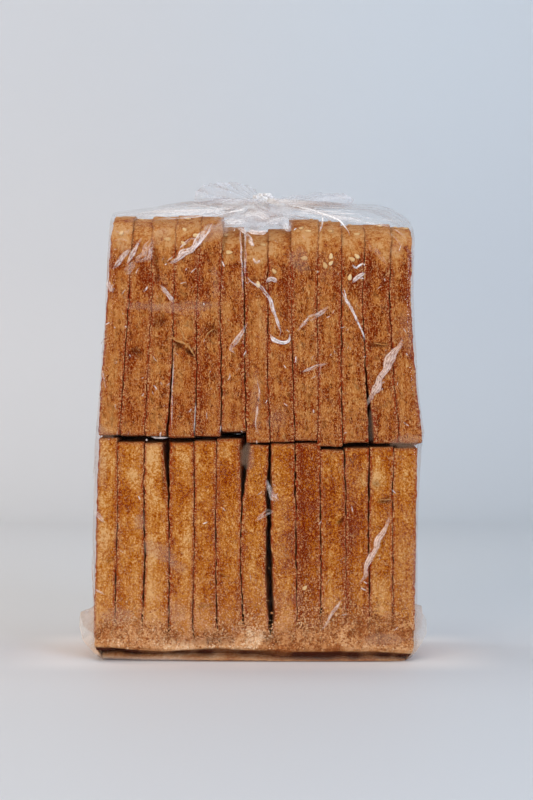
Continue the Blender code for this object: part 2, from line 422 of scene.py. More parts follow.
def sliceOutline(height, domeUp):
    # Nearly flat end with round corners, straight sides, and a dome that is a superellipse:
    # (y / half)^power + (rise share)^power = 1. It runs once round from the middle of the flat
    # end, evenly spaced, and gives y, z, the outward normal and the distance from the crest.
    half, radius = rusk["depth"] / 2, rusk["cornerRadius"]
    rise, power = rusk["domeRise"], rusk["domePower"]
    basePoints, cornerPoints, wallPoints, domePoints = rusk["outlinePoints"]
    turn = np.linspace(0, math.pi / 2, cornerPoints)
    base = [np.linspace(0, -half + radius, basePoints), np.zeros(basePoints)]
    corner = [-half + radius - radius * np.sin(turn), radius - radius * np.cos(turn)]
    wall = [np.full(wallPoints, -half), np.linspace(radius, height - rise, wallPoints)]
    angle = np.linspace(0, math.pi / 2, domePoints)
    dome = [-half * np.cos(angle) ** (2 / power), height - rise + rise * np.sin(angle) ** (2 / power)]
    y, z = [np.concatenate(parts) for parts in zip(base, corner, wall, dome)]
    y, z = np.concatenate([y, -y[::-1][1:]]), np.concatenate([z, z[::-1][1:]])
    z = z - rusk["endBulge"] * (1 - (y / half) ** 2) ** 3 * ease(4 * radius, 0, z)
    run = runOf(np.stack([y, z], -1))
    count = int(run[-1] / rusk["outlineStep"])
    at = np.arange(count) * run[-1] / count
    y, z = np.interp(at, run, y), np.interp(at, run, z)
    alongY, alongZ = np.roll(y, -1) - np.roll(y, 1), np.roll(z, -1) - np.roll(z, 1)
    length = np.hypot(alongY, alongZ)
    outY, outZ = -alongZ / length, alongY / length
    fromDome = height - z
    if not domeUp:
        z, outZ = height - z, -outZ
    return y, z, outY, outZ, fromDome


def edgeAt(row, index, y, z):
    # x of the boundary between two slices: through its four heights, rounded, with a small
    # waver, and swung a little towards the back.
    up, rounding = row["domeUp"], rusk["edgeRounding"]
    at, low, high = [np.interp(z + shift, row["heights"], row["edges"][index])
                     for shift in (0.0, -rounding, rounding)]
    seed = 40 + index + (30 if up else 0)
    deep = (y + rusk["depth"] / 2) / rusk["depth"]
    swing = rusk["backShift"] * math.sin(2.1 * index + (1.3 if up else 0.2))
    waver = rusk["edgeWaver"] * noise(z / 6.0, y / 9.0, 0.0, seed)
    nibble = rusk["edgeNibble"] * noise(z / 1.7, y / 2.0, 4.0, seed + 7)
    return (at * 2 + low + high) / 4 + swing * deep + waver + nibble


def gapAt(row, index, y, z):
    # Open at the front as in the table, less so at the back, shut in between, and uneven.
    deep = y / (rusk["depth"] / 2)
    width = np.where(deep < 0, 1.0, rusk["backGap"]) * np.abs(deep) ** rusk["gapPower"]
    table = np.interp(z, row["heights"], row["gaps"][index])
    calm = 1 - 0.6 * ease(rusk["gapsCalmFrom"], rusk["gapsCalmTo"], z)
    uneven = calm * row["gapUneven"] * noise(z / 2.2, y / 3.0, 0.0, 90 + index)
    uneven = uneven + 0.4 * table * noise(z / 12.0, y / 20.0, 7.0, 120 + index)
    gap = np.clip(table - row["gapTrim"] + uneven, rusk["gapLeast"], None)
    return gap * np.clip(1.1 * width - 0.1, 0, None)


# Tears, dents and raised lips: centre column and row in photo pixels, half width and half height
# in mm, slant, and depth.
dents = (
    (177, 344, 3.4, 1.0, -0.3, 1.7), (189, 352, 3.4, 1.0, -0.75, 1.7), (158, 322, 4.0, 3.2, 0.3, 0.8),
    (214, 331, 3.6, 3.0, -0.3, 0.8), (130, 354, 4.6, 1.2, 0.8, 0.7), (196, 355, 1.5, 2.5, 0.2, 1),
    (379, 345, 5.0, 0.8, 0.05, 1.4), (138, 352, 2.2, 3.6, 0.8, 0.9), (386, 501, 3.6, 0.8, 0.12, 1.6),
    (376, 484, 1.8, 1.7, 0.3, 0.8), (342, 521, 2.8, 1.1, 0.6, 1.7), (205, 606, 3.6, 0.8, 0.1, 0.9),
    (165, 470, 1.5, 9.0, 0, 1.3), (112, 560, 3.0, 0.8, 0.3, 0.7), (222, 575, 4.0, 0.7, -0.4, 0.8),
    (156, 262, 1.2, 6.0, 0.1, 0.8),
)
# Paler (+) and darker (-) places of the bake, in the same columns; the darker ones at (158, 322),
# (214, 331) and (130, 354) are painted shade in dents.
patches = (
    (132, 475, 2.6, 3.4, 0, 0.9), (153, 455, 3.4, 7.5, 0, 0.9), (188, 456, 4.6, 4.0, 0, 0.5),
    (220, 452, 5.5, 4.0, 0, 0.45), (252, 470, 3.4, 11.0, 0, 0.4), (372, 478, 7.5, 4.6, 0, 0.8),
    (382, 600, 5.0, 7.0, 0, 0.5), (228, 522, 4.0, 9.0, 0, 0.4), (150, 560, 4.0, 20.0, 0, 0.35),
    (186, 540, 3.0, 8.0, 0, 0.35), (255, 560, 3.0, 8.0, 0, 0.4), (340, 455, 4.0, 4.0, 0, 0.4),
    (105, 460, 3.5, 5.0, 0, 0.3), (105, 535, 3.0, 5.0, 0, 0.4), (131, 508, 3.6, 4.0, 0, -0.5),
    (116, 500, 3.0, 8.0, 0, -0.4), (183, 492, 4.0, 5.0, 0, -0.5), (160, 600, 3.0, 8.0, 0, -0.35),
    (290, 545, 3.0, 12.0, 0, -0.5), (330, 500, 4.0, 14.0, 0, -0.35), (352, 530, 4.0, 10.0, 0, -0.5),
    (405, 500, 4.0, 12.0, 0, -0.3), (212, 590, 5.0, 9.0, 0, -0.3), (276, 600, 3.0, 9.0, 0, -0.3),
    (120, 219, 5.0, 2.2, 0, -1), (150, 221, 3.0, 1.6, 0, -0.7), (122, 232, 4.5, 3.0, 0, 0.5),
    (115, 262, 5.0, 4.0, 0, -0.5), (158, 322, 3.6, 3.2, 0, -0.7), (214, 331, 3.6, 3.2, 0, -0.7),
    (130, 354, 3.2, 2.4, 0, -0.5), (185, 328, 4.0, 4.0, 0, 0.5), (199, 224, 3.0, 4.0, 0, 0.5),
    (152, 236, 3.0, 3.0, 0, 0.5), (305, 228, 3.4, 4.0, 0, 0.5), (335, 232, 3.4, 4.0, 0, 0.4),
    (362, 230, 3.4, 4.0, 0, 0.4), (302, 224, 3.4, 1.8, 0, -0.8), (180, 216, 4.0, 1.4, 0, -0.6),
    (268, 250, 3.0, 5.0, 0, 0.5), (205, 318, 8.0, 5.0, 0, 0.3), (255, 320, 4.0, 30.0, 0, 0.3),
    (110, 300, 4.0, 14.0, 0, -0.25), (150, 275, 8.0, 7.0, 0, -0.35), (212, 290, 8.0, 6.0, 0, -0.35),
    (262, 285, 5.0, 5.0, 0, -0.4), (345, 285, 10.0, 6.0, 0, -0.35), (392, 290, 8.0, 8.0, 0, -0.3),
)


def dentDepth(x, z):
    # How far the front is dented: spots that are flat inside along their length.
    return spotSum(dents, x, z, lambda along, across: np.exp(-(along ** 4) - across ** 2))


def patchTone(x, z):
    # How much paler the bake is, or darker where it paints shade in a dent: round spots, exp(-distance^3).
    return spotSum(patches, x, z, lambda along, across: np.exp(-((along ** 2 + across ** 2) ** 1.5)))


def sliceStations(first, last):
    # The rings of a slice, from the middle of its left face over the crust to the middle of the
    # right one: the part, the outline's scale, how far it is set in, and its offset across.
    radius, halves = rusk["edgeRadius"], []
    for part, outermost in (("left", first), ("right", last)):
        rings = rusk["shownRings"] if outermost else rusk["hiddenRings"]
        half = [(part, share, 0.0, 0.0) for share in np.linspace(0, 0.965, rings + 1)[1:]]
        for angle in np.linspace(0, math.pi / 2, 4)[:-1]:
            half.append((part, 1.0, radius * (1 - math.sin(angle)), radius * (1 - math.cos(angle))))
        halves.append(half)
    crust = [("crust", 1.0, 0.0, share) for share in np.linspace(0, 1, rusk["crossPoints"])]
    return halves[0] + crust + halves[1][::-1]


def buildSlice(row, index, material):
    # Scaled outlines in y and z, carried across in x between the boundaries with the neighbours,
    # and pushed along their normals by the crust's relief or along x by the broad face's.
    bottom, top, domeUp = row["bottoms"][index], row["tops"][index], row["domeUp"]
    y, z, outY, outZ, fromDome = sliceOutline(top - bottom, domeUp)
    seed = index + (100 if domeUp else 200)
    lean = math.sin(2.7 * index + (0.9 if domeUp else 2.2))
    middleY, middleZ = row["setBack"][index], (top + bottom) / 2
    y, z = y + middleY, z + bottom
    smoothTop = ease(26, 8, fromDome)
    rough = row["fibre"][index] * (1 - 0.85 * smoothTop)
    soft = 1 - 0.8 * smoothTop * domeUp    # sharper edges on the upper row's domes
    inset = rusk["edgeRadius"] * soft

    def crustRing(left, right, ringY, ringZ, across):
        # Relief: fibres and lumps, less pores and dents, and a finer skin on the dome.
        x = left + inset + (right - left - 2 * inset) * across
        fibre = noise(x / 0.8, ringY / 3.5, ringZ / 4.5, seed)
        lumps = layered(x / 7, ringY / 9, ringZ / 9, seed + 5, 2)
        pore = ease(0.30, 0.85, layered(x / 0.9, ringY / 1.6, ringZ / 1.7, seed + 9, 2))
        skin = noise(x / 2.6, ringY / 3.2, ringZ / 3.2, seed + 13)
        tear = dentDepth(x, ringZ) * ease(5, -5, ringY + 30)
        relief = rusk["fibreRelief"] * fibre * (0.35 + rough)
        relief = relief + rusk["lumpRelief"] * lumps - rusk["poreDepth"] * pore * rough
        relief = relief + rusk["topRelief"] * smoothTop * skin - tear
        ringY, ringZ = ringY + outY * relief, ringZ + outZ * relief
        fromMiddle = 2 * across - 1
        # Painted shade across each slice: darker towards both edges, and to one side by its lean.
        shading = 0.13 * lean * fromMiddle + 0.14 * abs(fromMiddle) ** 3
        rim = max(1 - min(across, 1 - across) * (rusk["crossPoints"] - 1) / 1.6, 0)
        return np.stack([x, ringY, ringZ], -1), {
            "crust": 1.0,
            # The rim along the gaps and at the flat end takes painted shade of the gaps and the rows' seam.
            "edge": np.maximum(rim, 0.8 * ease(2.4, 0.6, top - bottom - fromDome)),
            # Painted shade in the pores and dents.
            "deep": np.clip(pore * rough * 0.6 + tear * 0.7, 0, 1),
            # Patches of the bake, less the painted shade across the slice.
            "paler": patchTone(x, ringZ) * ease(10, 0, ringY) - 2.0 * shading,
        }

    def faceRing(wall, side, ringY, ringZ, scale, offset):
        # Relief: soft lumps and hollows, none at the rim.
        lumps = layered(ringY / 2.6, ringZ / 2.6, 0.0, seed + 21, 3)
        hollow = ease(0.25, 0.9, layered(ringY / 1.9, ringZ / 1.9, 3.0, seed + 33, 2))
        rim = ease(1.0, 0.93, scale)
        depth = rim * rusk["faceRelief"] * (0.4 * lumps + 1.5 * hollow)
        x = wall + side * (offset * soft + np.clip(depth, -0.1, None))
        # The face's hollows get painted shade, and its rim takes the gaps' painted shade.
        marks = {"crust": 0.95 * ease(0.88, 0.97, scale), "edge": float(scale > 0.9), "deep": hollow * rim}
        return np.stack([x, ringY, ringZ], -1), marks

    stations = sliceStations(index == 0, index == len(row["tops"]) - 1)
    points = np.zeros((len(stations), len(y), 3))
    shown = {label: np.zeros(points.shape[:2]) for label in ("crust", "edge", "deep", "paler")}
    for k, (part, scale, setIn, offset) in enumerate(stations):
        ringY = middleY + (y - middleY) * scale - outY * setIn * soft
        ringZ = middleZ + (z - middleZ) * scale - outZ * setIn * soft
        left = edgeAt(row, index, ringY, ringZ) + gapAt(row, index, ringY, ringZ) / 2
        right = edgeAt(row, index + 1, ringY, ringZ) - gapAt(row, index + 1, ringY, ringZ) / 2
        if part == "crust":
            points[k], marks = crustRing(left, right, ringY, ringZ, offset)
        elif part == "left":
            points[k], marks = faceRing(left, 1, ringY, ringZ, scale, offset)
        else:
            points[k], marks = faceRing(right, -1, ringY, ringZ, scale, offset)
        for label, values in marks.items():
            shown[label][k] = values
    poles = points[[0, -1]].mean(1)
    allPoints = np.vstack([points.reshape(-1, 3), poles])
    shown["fromDome"], shown["fromFoot"] = np.tile(fromDome, (len(stations), 1)), points[..., 2]
    atPoles = {"fromDome": 50.0, "fromFoot": 90.0}
    attributes = {}
    for label, values in shown.items():
        attributes[label] = np.append(values, [atPoles.get(label, 0.0)] * 2)
    whole = {"bake": row["bake"][index], "fibre": row["fibre"][index], "upper": domeUp, "own": 1.7 * seed}
    for label, value in whole.items():
        attributes[label] = np.full(len(allPoints), value, float)
    faces = closedRings(len(stations), len(y), flip=domeUp)
    makePiece(f"rusk_{row['name']}_{index + 1:02d}", allPoints, faces, material, attributes)


def ruskFinish():
    # Baked crust round the rim and toasted crumb on the broad faces.
    look = Finish("rusk")
    colours = {
        "light": srgb(213, 162, 104),
        "gold": srgb(191, 124, 50),
        "amber": srgb(175, 97, 17),
        "brown": srgb(147, 62, 0),
        "dark": srgb(116, 33, 0),
        "pitAndShade": srgb(58, 18, 2),
        "scorchAndShade": srgb(134, 32, 0),
        "fleck": srgb(216, 165, 108),
        "dust": srgb(222, 168, 122),
        "dusty": srgb(180, 121, 76),
        "crumb": srgb(226, 154, 84),
        "toasted": srgb(192, 106, 44),
        "burntAndShade": srgb(112, 52, 14),
    }
    crust, edge, deep, fromDome, bake = look.attributes("crust", "edge", "deep", "fromDome", "bake")
    fibre, upper, paler, fromFoot, own = look.attributes("fibre", "upper", "paler", "fromFoot", "own")
    # Each slice has its own stretch of every pattern.
    shift = look.add("ShaderNodeCombineXYZ", None, {"X": own * 3.1, "Y": own * -4.3, "Z": own * 5.9})

    def slicePlace(scale=(1.0, 1.0, 1.0)):
        # (place + shift) x scale
        where = look.add("ShaderNodeVectorMath", {"operation": "ADD"}, {0: look.place(), 1: shift})
        return look.add("ShaderNodeVectorMath", {"operation": "MULTIPLY"}, {0: where, 1: scale})

    plain = slicePlace()
    blotch = look.grain(plain, 0.11, 2.0, 0.55, 0.4)
    cloud = look.grain(plain, 0.29, 3.0, 0.6)
    mottle = look.grain(plain, 0.62, 2.0, 0.6, 0.8)
    speck = look.grain(plain, 0.85, 2.0, 0.75)
    grit = look.grain(plain, 1.3, 1.0, 0.7)
    fibres = look.grain(slicePlace((1.15, 0.65, 0.44)), 1.0, 2.0, 0.6, 2.2)
    streaks = look.grain(slicePlace((0.42, 0.3, 0.045)), 1.0, 2.0, 0.6, 0.4)
    # How dark the bake is: each slice's own tone, blotches, pale and dark patches with painted shade across
    # each slice and in some dents, and a band under the shoulder, which is itself pale and mottled on the
    # upper row.
    band = look.span(fromDome, 12.0, 24.0) * look.span(fromDome, 46.0, 28.0)
    shoulder = look.span(fromDome + (blotch - 0.5) * 16.0, 21.0, 9.0)
    below, paleTop = 1.0 - shoulder * 0.8, shoulder * upper
    tone = bake - paler * 0.5 - upper * 0.07
    tone = tone + (blotch - 0.5) * (0.85 + upper * 0.20 - paleTop * 0.3)
    tone = tone + (cloud - 0.5) * (0.48 + upper * 0.30 + paleTop)
    tone = tone + (streaks - 0.5) * (0.75 + upper * 0.25)
    tone = tone + (mottle - 0.5) * (0.22 + paleTop * 1.5)
    tone = tone + band * upper * 0.05 - paleTop * 0.42
    weave = look.span(mottle, 0.30, 0.66, 0.70, 1.25)
    tone = tone + (fibres - 0.5) * (fibre * 2.15) * weave * below
    specks = (speck - 0.5) * 1.8 + (grit - 0.5) * 1.5
    tone = tone + specks * (1.0 - upper * 0.46) * (1.0 + paleTop * 0.15)
    # The upper row's pale places are held back.
    tone = tone + (0.58 - tone).maths("MAXIMUM", 0.0) * (upper * (1.0 - shoulder) * 0.22)
    steps = zip((0.0, 0.27, 0.52, 0.77, 1.0), ("light", "gold", "amber", "brown", "dark"))
    baked = look.ramp(tone, [(at, colours[name]) for at, name in steps])
    baked = look.mix(upper * look.span(tone, 1.0, 0.35) * 0.38, baked, colours["dusty"])
    # Pale flecks, the fibres' pale ridges and the dark pits between them, the pits partly painted shade, and
    # painted shade in pores and dents.
    grainy = look.span(fromDome, 70.0, 20.0) * (1.0 - upper)
    fleck = look.span(grit + (cloud - 0.5) * 0.4 + grainy * 0.05, 0.60, 0.70)
    baked = look.mix(fleck * (0.45 + grainy * 0.35 - shoulder * 0.1), baked, colours["fleck"])
    ridge = look.span(fibres, 0.43, 0.34) * fibre * (1.0 - shoulder) * 0.6
    baked = look.mix(ridge, baked, colours["fleck"])
    pitAndShade = look.span(fibres, 0.61, 0.70) * (fibre + 0.05) * below * weave
    baked = look.mix((pitAndShade * 0.75).maths("MAXIMUM", deep * 0.8), baked, colours["pitAndShade"])
    # Along the gaps and at the rows' seam the crust is darkened in spots, partly scorch and partly painted
    # shade of the gaps, and crumbles to pale specks between them.
    rim = edge * edge
    scorchAndGapShade = rim * look.span(speck + (cloud - 0.5) * 0.5, 0.38, 0.52)
    scorchAndGapShade = (scorchAndGapShade * 0.95).maths("MAXIMUM", rim * 0.72) * (1.0 - paleTop * 0.7)
    baked = look.mix(scorchAndGapShade, baked, colours["scorchAndShade"])
    crumbled = edge * look.span(grit + (mottle - 0.5) * 0.3, 0.52, 0.60)
    baked = look.mix(crumbled * 0.75, baked, colours["fleck"])
    # A coat of pale dust thickens towards the foot of the lower row.
    dusted = look.span(fromFoot + (blotch - 0.5) * 40.0, 42.0, 4.0)
    dust = dusted * look.span(speck + (grit - 0.5) * 0.8 + dusted * 0.12, 0.52, 0.66)
    baked = look.mix(dust * 0.7, baked, colours["dust"])
    # The broad face: crumb toasted in soft patches, darker by its rim, with small dark pores.
    toast = look.grain(slicePlace((0.4, 1.0, 1.0)), 0.07, 3.0, 0.6)
    toasting = look.span(toast + (cloud - 0.5) * 0.4 + (mottle - 0.5) * 0.3, 0.34, 0.70)
    face = look.mix(toasting, colours["crumb"], colours["toasted"])
    pores = look.grain(slicePlace((0.5, 1.0, 1.0)), 0.8, 3.0, 0.6, 0.6)
    face = look.mix(look.span(pores, 0.42, 0.30) * 0.5, face, colours["fleck"])
    face = look.mix(look.span(pores, 0.54, 0.68) * 0.6, face, colours["burntAndShade"])
    # Painted shade in the face's hollows.
    face = look.mix(deep * 0.45, face, colours["burntAndShade"])
    colour = look.mix(crust, face, baked)
    rough = 0.80 - shoulder * crust * upper * 0.26
    height = speck * 0.5 + grit * 0.35 - fibres * fibre * 0.6 - pitAndShade * 0.5
    return look.surface(look.solid(colour, rough, 0.05, look.relief(height, 0.7, 0.0005)))


ruskLook = ruskFinish()
sliceCount = 0
for row in (upperRow, lowerRow):
    for index in range(len(row["tops"])):
        buildSlice(row, index, ruskLook)
        sliceCount += 1
print("rusk slices:", sliceCount)


bag = {
    "half": 44.7,           # half its depth
    "corner": 4.0,          # radius of its upright corners
    "frontPoints": 170,
    "backPoints": 84,
    "sidePoints": 34,
    "cornerPoints": 6,
    "wallStep": 0.95,
    "floorGap": 0.2,
    "footRise": 9.0,        # height over which the foot is rounded
    "cornerIn": 5.4,        # how far the foot's corners are drawn in
    "topRings": 48,
    "footRings": 7,
    "neckX": 5.6,
    "neckZ": 219.3,
    "neckRadius": 4.6,
    "seamZ": 104.0,         # height of the film's dip between the two rows
    "seamDip": 0.9,
    "wrinkle": 0.30,
    "crinkle": 0.16,
    "pleats": 15,
    "pleat": 1.5,
    "crumple": 0.9,
    # Height, x of the film's left wall and x of its right wall.
    "walls": (
        (0, -75.2, 77.4), (50, -75.0, 77.9), (80, -74.5, 78.6), (100, -74.2, 79.6),
        (108, -73.6, 81.0), (123, -72.4, 79.0), (137, -71.4, 77.9), (156, -69.9, 76.6),
        (172, -69.1, 75.9), (190, -68.0, 76.3), (200, -67.5, 76.6), (214, -67.2, 76.8),
    ),
    # x, height over the slices' crests, height of the film's own ridge, and set-back of its foot.
    "tops": (
        (-70.0, 213.0, 207.0, 12.0), (-68.2, 213.0, 212.0, 11.0), (-67.0, 213.0, 214.0, 10.4),
        (-65.0, 213.0, 214.6, 9.8), (-50.0, 212.6, 216.6, 6.4), (-35.0, 213.4, 219.0, 4.6),
        (-22.0, 213.2, 219.9, 2.6), (0.0, 211.4, 220.0, 1.4), (20.0, 211.4, 219.2, 0.9),
        (48.0, 210.4, 218.6, 0.8), (60.0, 209.6, 218.2, 1.0), (66.5, 209.0, 216.4, 1.8),
        (72.3, 208.6, 213.0, 3.4), (76.2, 208.2, 209.8, 5.0), (77.8, 208.0, 205.0, 6.0),
    ),
}
milkiness = {
    "above": 0.07,          # above the bread
    "aboveSpokes": 0.24,    # in rays to the knot there
    "gathered": 0.08,
    "gatheredSpokes": 0.30,
    "hanging": 0.50,        # over the lowered slices in the middle, between these bounds
    "hangLeft": (-16, -13),
    "hangRight": (20, 17),
    "hangHeight": (203.8, 206.8),
    "hangDepth": (4, 18),
    "foot": 0.40,
    "footHeight": (3.2, 1.2),
    "footClearer": (-45, -15),         # along x, where the foot is clearer at the front
    "footEdge": 0.20,
    "footEdgeHeight": (1.6, 0.5),
    "footEdgeClearer": (-55, -15),
    "lowerRow": 0.004,
    "corners": 0.10,
    "patches": 0.07,
    "clingsAndSheen": 0.80,         # of each cling's own value
    "most": 0.80,
}
# Places where the film clings to the bread and shows a soft sheen, painted as milkiness: centre column and
# row in photo pixels, half width and half height in mm, slant, and milkiness.
clingsAndSheen = (
    (185, 306, 17.0, 2.4, 0.05, 0.16), (147, 307, 9.0, 1.6, -0.1, 0.12), (160, 552, 9.0, 5.0, -0.6, 0.24),
    (178, 566, 5.0, 2.6, -0.5, 0.2), (140, 520, 3.0, 4.5, 0, 0.24), (118, 615, 7.0, 4.0, 0.1, 0.2),
    (176, 612, 5.0, 6.0, 0.3, 0.16), (106, 432, 5.0, 2.6, -0.3, 0.2), (104, 470, 2.6, 9.0, 0, 0.14),
    (104, 545, 2.4, 8.0, 0, 0.05), (247, 456, 3.0, 7.0, 0.1, 0.22), (256, 400, 2.2, 16.0, 0, 0.14),
    (262, 330, 2.2, 12.0, 0.1, 0.05), (277, 418, 5.0, 5.0, 0.3, 0.12), (214, 232, 7.0, 5.0, 0.5, 0.26),
    (160, 236, 6.0, 4.0, 0.6, 0.16), (124, 248, 3.0, 5.0, 0.5, 0.14), (300, 260, 5.0, 6.0, 0.3, 0.2),
    (330, 270, 4.0, 8.0, 0.2, 0.04), (398, 246, 4.0, 5.0, -0.6, 0.16), (405, 330, 3.0, 12.0, 0.1, 0.1),
    (352, 470, 6.0, 8.0, 0.3, 0.04), (405, 441, 6.5, 3.0, 0.2, 0.22), (371, 428, 1.8, 7.0, 0, 0.1),
    (284, 545, 4.0, 22.0, 0, 0.07), (406, 560, 4.0, 28.0, 0, 0.07), (288, 600, 7.0, 4.0, 0.2, 0.1),
    (385, 640, 12.0, 3.0, 0, 0.22),
)


def wallX(z):
    # x of the film's left and right walls, straight between the heights in the table.
    heights, left, right = np.array(bag["walls"]).T
    return np.interp(z, heights, left), np.interp(z, heights, right)


def topOf(x):
    # Where the film's dome starts, the height of its ridge, and how far its foot is set back.
    tops = np.array(bag["tops"]).T
    crest, ridge, foot = [np.interp(x, tops[0], values) for values in tops[1:]]
    return crest - rusk["domeRise"], ridge, foot


def domeHeight(x, y):
    # The superellipse of the slices' domes, stretched up to the film's ridge.
    start, ridge, _ = topOf(x)
    share = np.clip(np.abs(y) / bag["half"], 0, 1)
    return start + (ridge - start) * superellipse(share, rusk["domePower"])


def footRound(z):
    # 0 above the rounding of the foot and 1 at the floor, by a quarter circle.
    low = np.clip(1 - z / bag["footRise"], 0, 1)
    return 1 - np.sqrt(1 - low ** 2)


def drawnIn(x, amount):
    # The amount nearer to the middle at both ends of the bag, and less from there inwards.
    return x - np.sign(x) * amount * np.clip((np.abs(x) - 50) / 25, 0, 1)


def seamDip(z):
    # A bell-shaped dip where the two rows meet.
    return bag["seamDip"] * np.exp(-((z - bag["seamZ"]) / 5) ** 2)


def filmFront(x, z):
    # y of the film's front at a place, before its wrinkles.
    start, ridge, foot = topOf(x)
    up = np.clip((z - start) / (ridge - start), 0, 0.999)
    return -bag["half"] * superellipse(up, rusk["domePower"]) + foot * footRound(z) + seamDip(z)


def onFilm(column, row):
    # A photo pixel carried back along the camera's line to the film's front, closer each time.
    flatX, flatZ = x, z = fromPhoto(column, row)
    for _ in range(4):
        x, z = alongCamera(flatX, flatZ, filmFront(x, z) + rusk["depth"] / 2)
    return x, z


def filmWrinkles(x, y, z):
    # Soft waves, and finer creases where layered noise passes zero.
    soft = layered((x + z * 0.3) / 26, y / 26, (z - x * 0.5) / 34, 500, 2)
    sharp = 1 - 2 * np.abs(noise((x + z * 0.55) / 9, y / 9, (z - x * 0.55) / 22, 507))
    return bag["wrinkle"] * soft + bag["crinkle"] * sharp


def clingAndSheenHaze(x, y, z):
    # Spots for the clinging places, partly a painted soft reflection, ragged by noise, on the front only.
    ragged = 0.35 * layered(x / 4.5, 0, z / 4.5, 660, 3)
    haze = spotSum(clingsAndSheen, x, z, lambda along, across: ease(1.1, 0.75, np.hypot(along, across) + ragged))
    return milkiness["clingsAndSheen"] * haze * ease(-20, -40, y)


def hangCloud(x, y, z):
    # Clouds in the film that hangs in the middle of the top.
    return layered(x / 6, z / 3.5, y / 20, 636, 3)


def filmHaze(x, y, z, angle, near):
    # How milky the film is: where it hangs above the bread and is gathered, along its corners,
    # at its foot, and in patches where it clings to the bread, which also paint a soft reflection.
    milk = milkiness
    crest = topOf(x)[0] + rusk["domeRise"]
    spokes = ease(-0.2, 0.7, noise(angle * 12, near * 2.2, 0, 611))
    above = ease(-1.5, 2.5, z - crest) * (milk["above"] + milk["aboveSpokes"] * spokes)
    above = above * (1 - 0.3 * ease(5, -25, x))
    gathered = ease(0.5, 0.95, near) * (milk["gathered"] + milk["gatheredSpokes"] * spokes)
    sway = 2.6 * noise(x / 6, 0, 0, 631) + 1.2 * noise(x / 1.9, z / 3, 0, 633)
    hanging = ease(*milk["hangLeft"], x) * ease(*milk["hangRight"], x)
    hanging = hanging * ease(*milk["hangHeight"], z + sway) * ease(*milk["hangDepth"], np.abs(y))
    hanging = milk["hanging"] * hanging * (0.20 + 0.80 * ease(-0.45, 0.55, hangCloud(x, y, z)))
    # The foot is clearer at the front's right, where dark shows under the crumbs.
    front = ease(30, 20, y)
    clearer, edgeClearer = ease(*milk["footClearer"], x), ease(*milk["footEdgeClearer"], x)
    foot = milk["foot"] * ease(*milk["footHeight"], z) * (1 - 0.65 * clearer * front)
    footEdge = milk["footEdge"] * ease(*milk["footEdgeHeight"], z) * (1 - 1.2 * edgeClearer * front)
    foot = foot + footEdge
    lowerRow = milk["lowerRow"] * ease(106, 101, z)
    left, right = wallX(z)
    ragged = ease(-0.6, 0.7, noise(x / 3, y / 8, z / 7, 640))
    corner = milk["corners"] * ease(3.5, 0.5, np.minimum(x - left, right - x)) * ragged
    patch = ease(0.55, 0.95, layered(x / 7, y / 7, z / 9, 650, 4))
    patch = milk["patches"] * patch * (0.6 + 0.4 * noise(x / 1.3, y / 1.3, z / 2.2, 655))
    total = above + gathered + hanging + foot + lowerRow + corner + patch
    return np.clip(total + clingAndSheenHaze(x, y, z), 0, milk["most"])


def filmBreadBounce(x, y, z):
    # Painted bounce of the bread's colour in the film's milk, where the film is close to the bread: below the
    # crests but for its four corners, over the lowered slices and along the foot.
    middle = ease(-17, -8, x) * ease(26, 17, x) * ease(214, 209, z) * ease(200, 204, z)
    middle = 0.9 * ease(0.1, -0.4, hangCloud(x, y, z)) * middle
    left, right = wallX(z)
    nearCorner = ease(4, 1, np.minimum(x - left, right - x)) * ease(34, 40, np.abs(y))
    onBread = 0.8 * ease(206, 200, z) * (1 - nearCorner)
    foot = 0.55 * ease(2.4, 0.5, z) * (1 - 0.8 * ease(*milkiness["footClearer"], x))
    return np.clip(np.maximum(middle, onBread) - foot, 0, 1)


def bagOutline():
    # Once round the bag: share across it from its left wall to its right one, y, and how far x is
    # set in, with a quarter circle at each corner. The back is the front turned half round.
    half, corner = bag["half"], bag["corner"]
    flat = half - corner
    turn = np.linspace(0, math.pi / 2, bag["cornerPoints"] + 2)[1:-1]
    sine, cosine = corner * np.sin(turn), corner * np.cos(turn)
    side = np.linspace(-flat, flat, bag["sidePoints"])
    rounds = []
    for hand, points in ((1, bag["frontPoints"]), (-1, bag["backPoints"])):
        share = np.linspace(0, 1, points)
        across = np.concatenate([share, np.ones(2 * len(turn) + len(side))])
        y = np.concatenate([np.full(points, -half), -flat - cosine, side, flat + sine])
        setIn = np.concatenate([corner * (1 - 2 * share), sine - corner, 0 * side, cosine - corner])
        rounds.append((across if hand > 0 else 1 - across, hand * y, hand * setIn))
    return [np.concatenate(parts) for parts in zip(*rounds)]


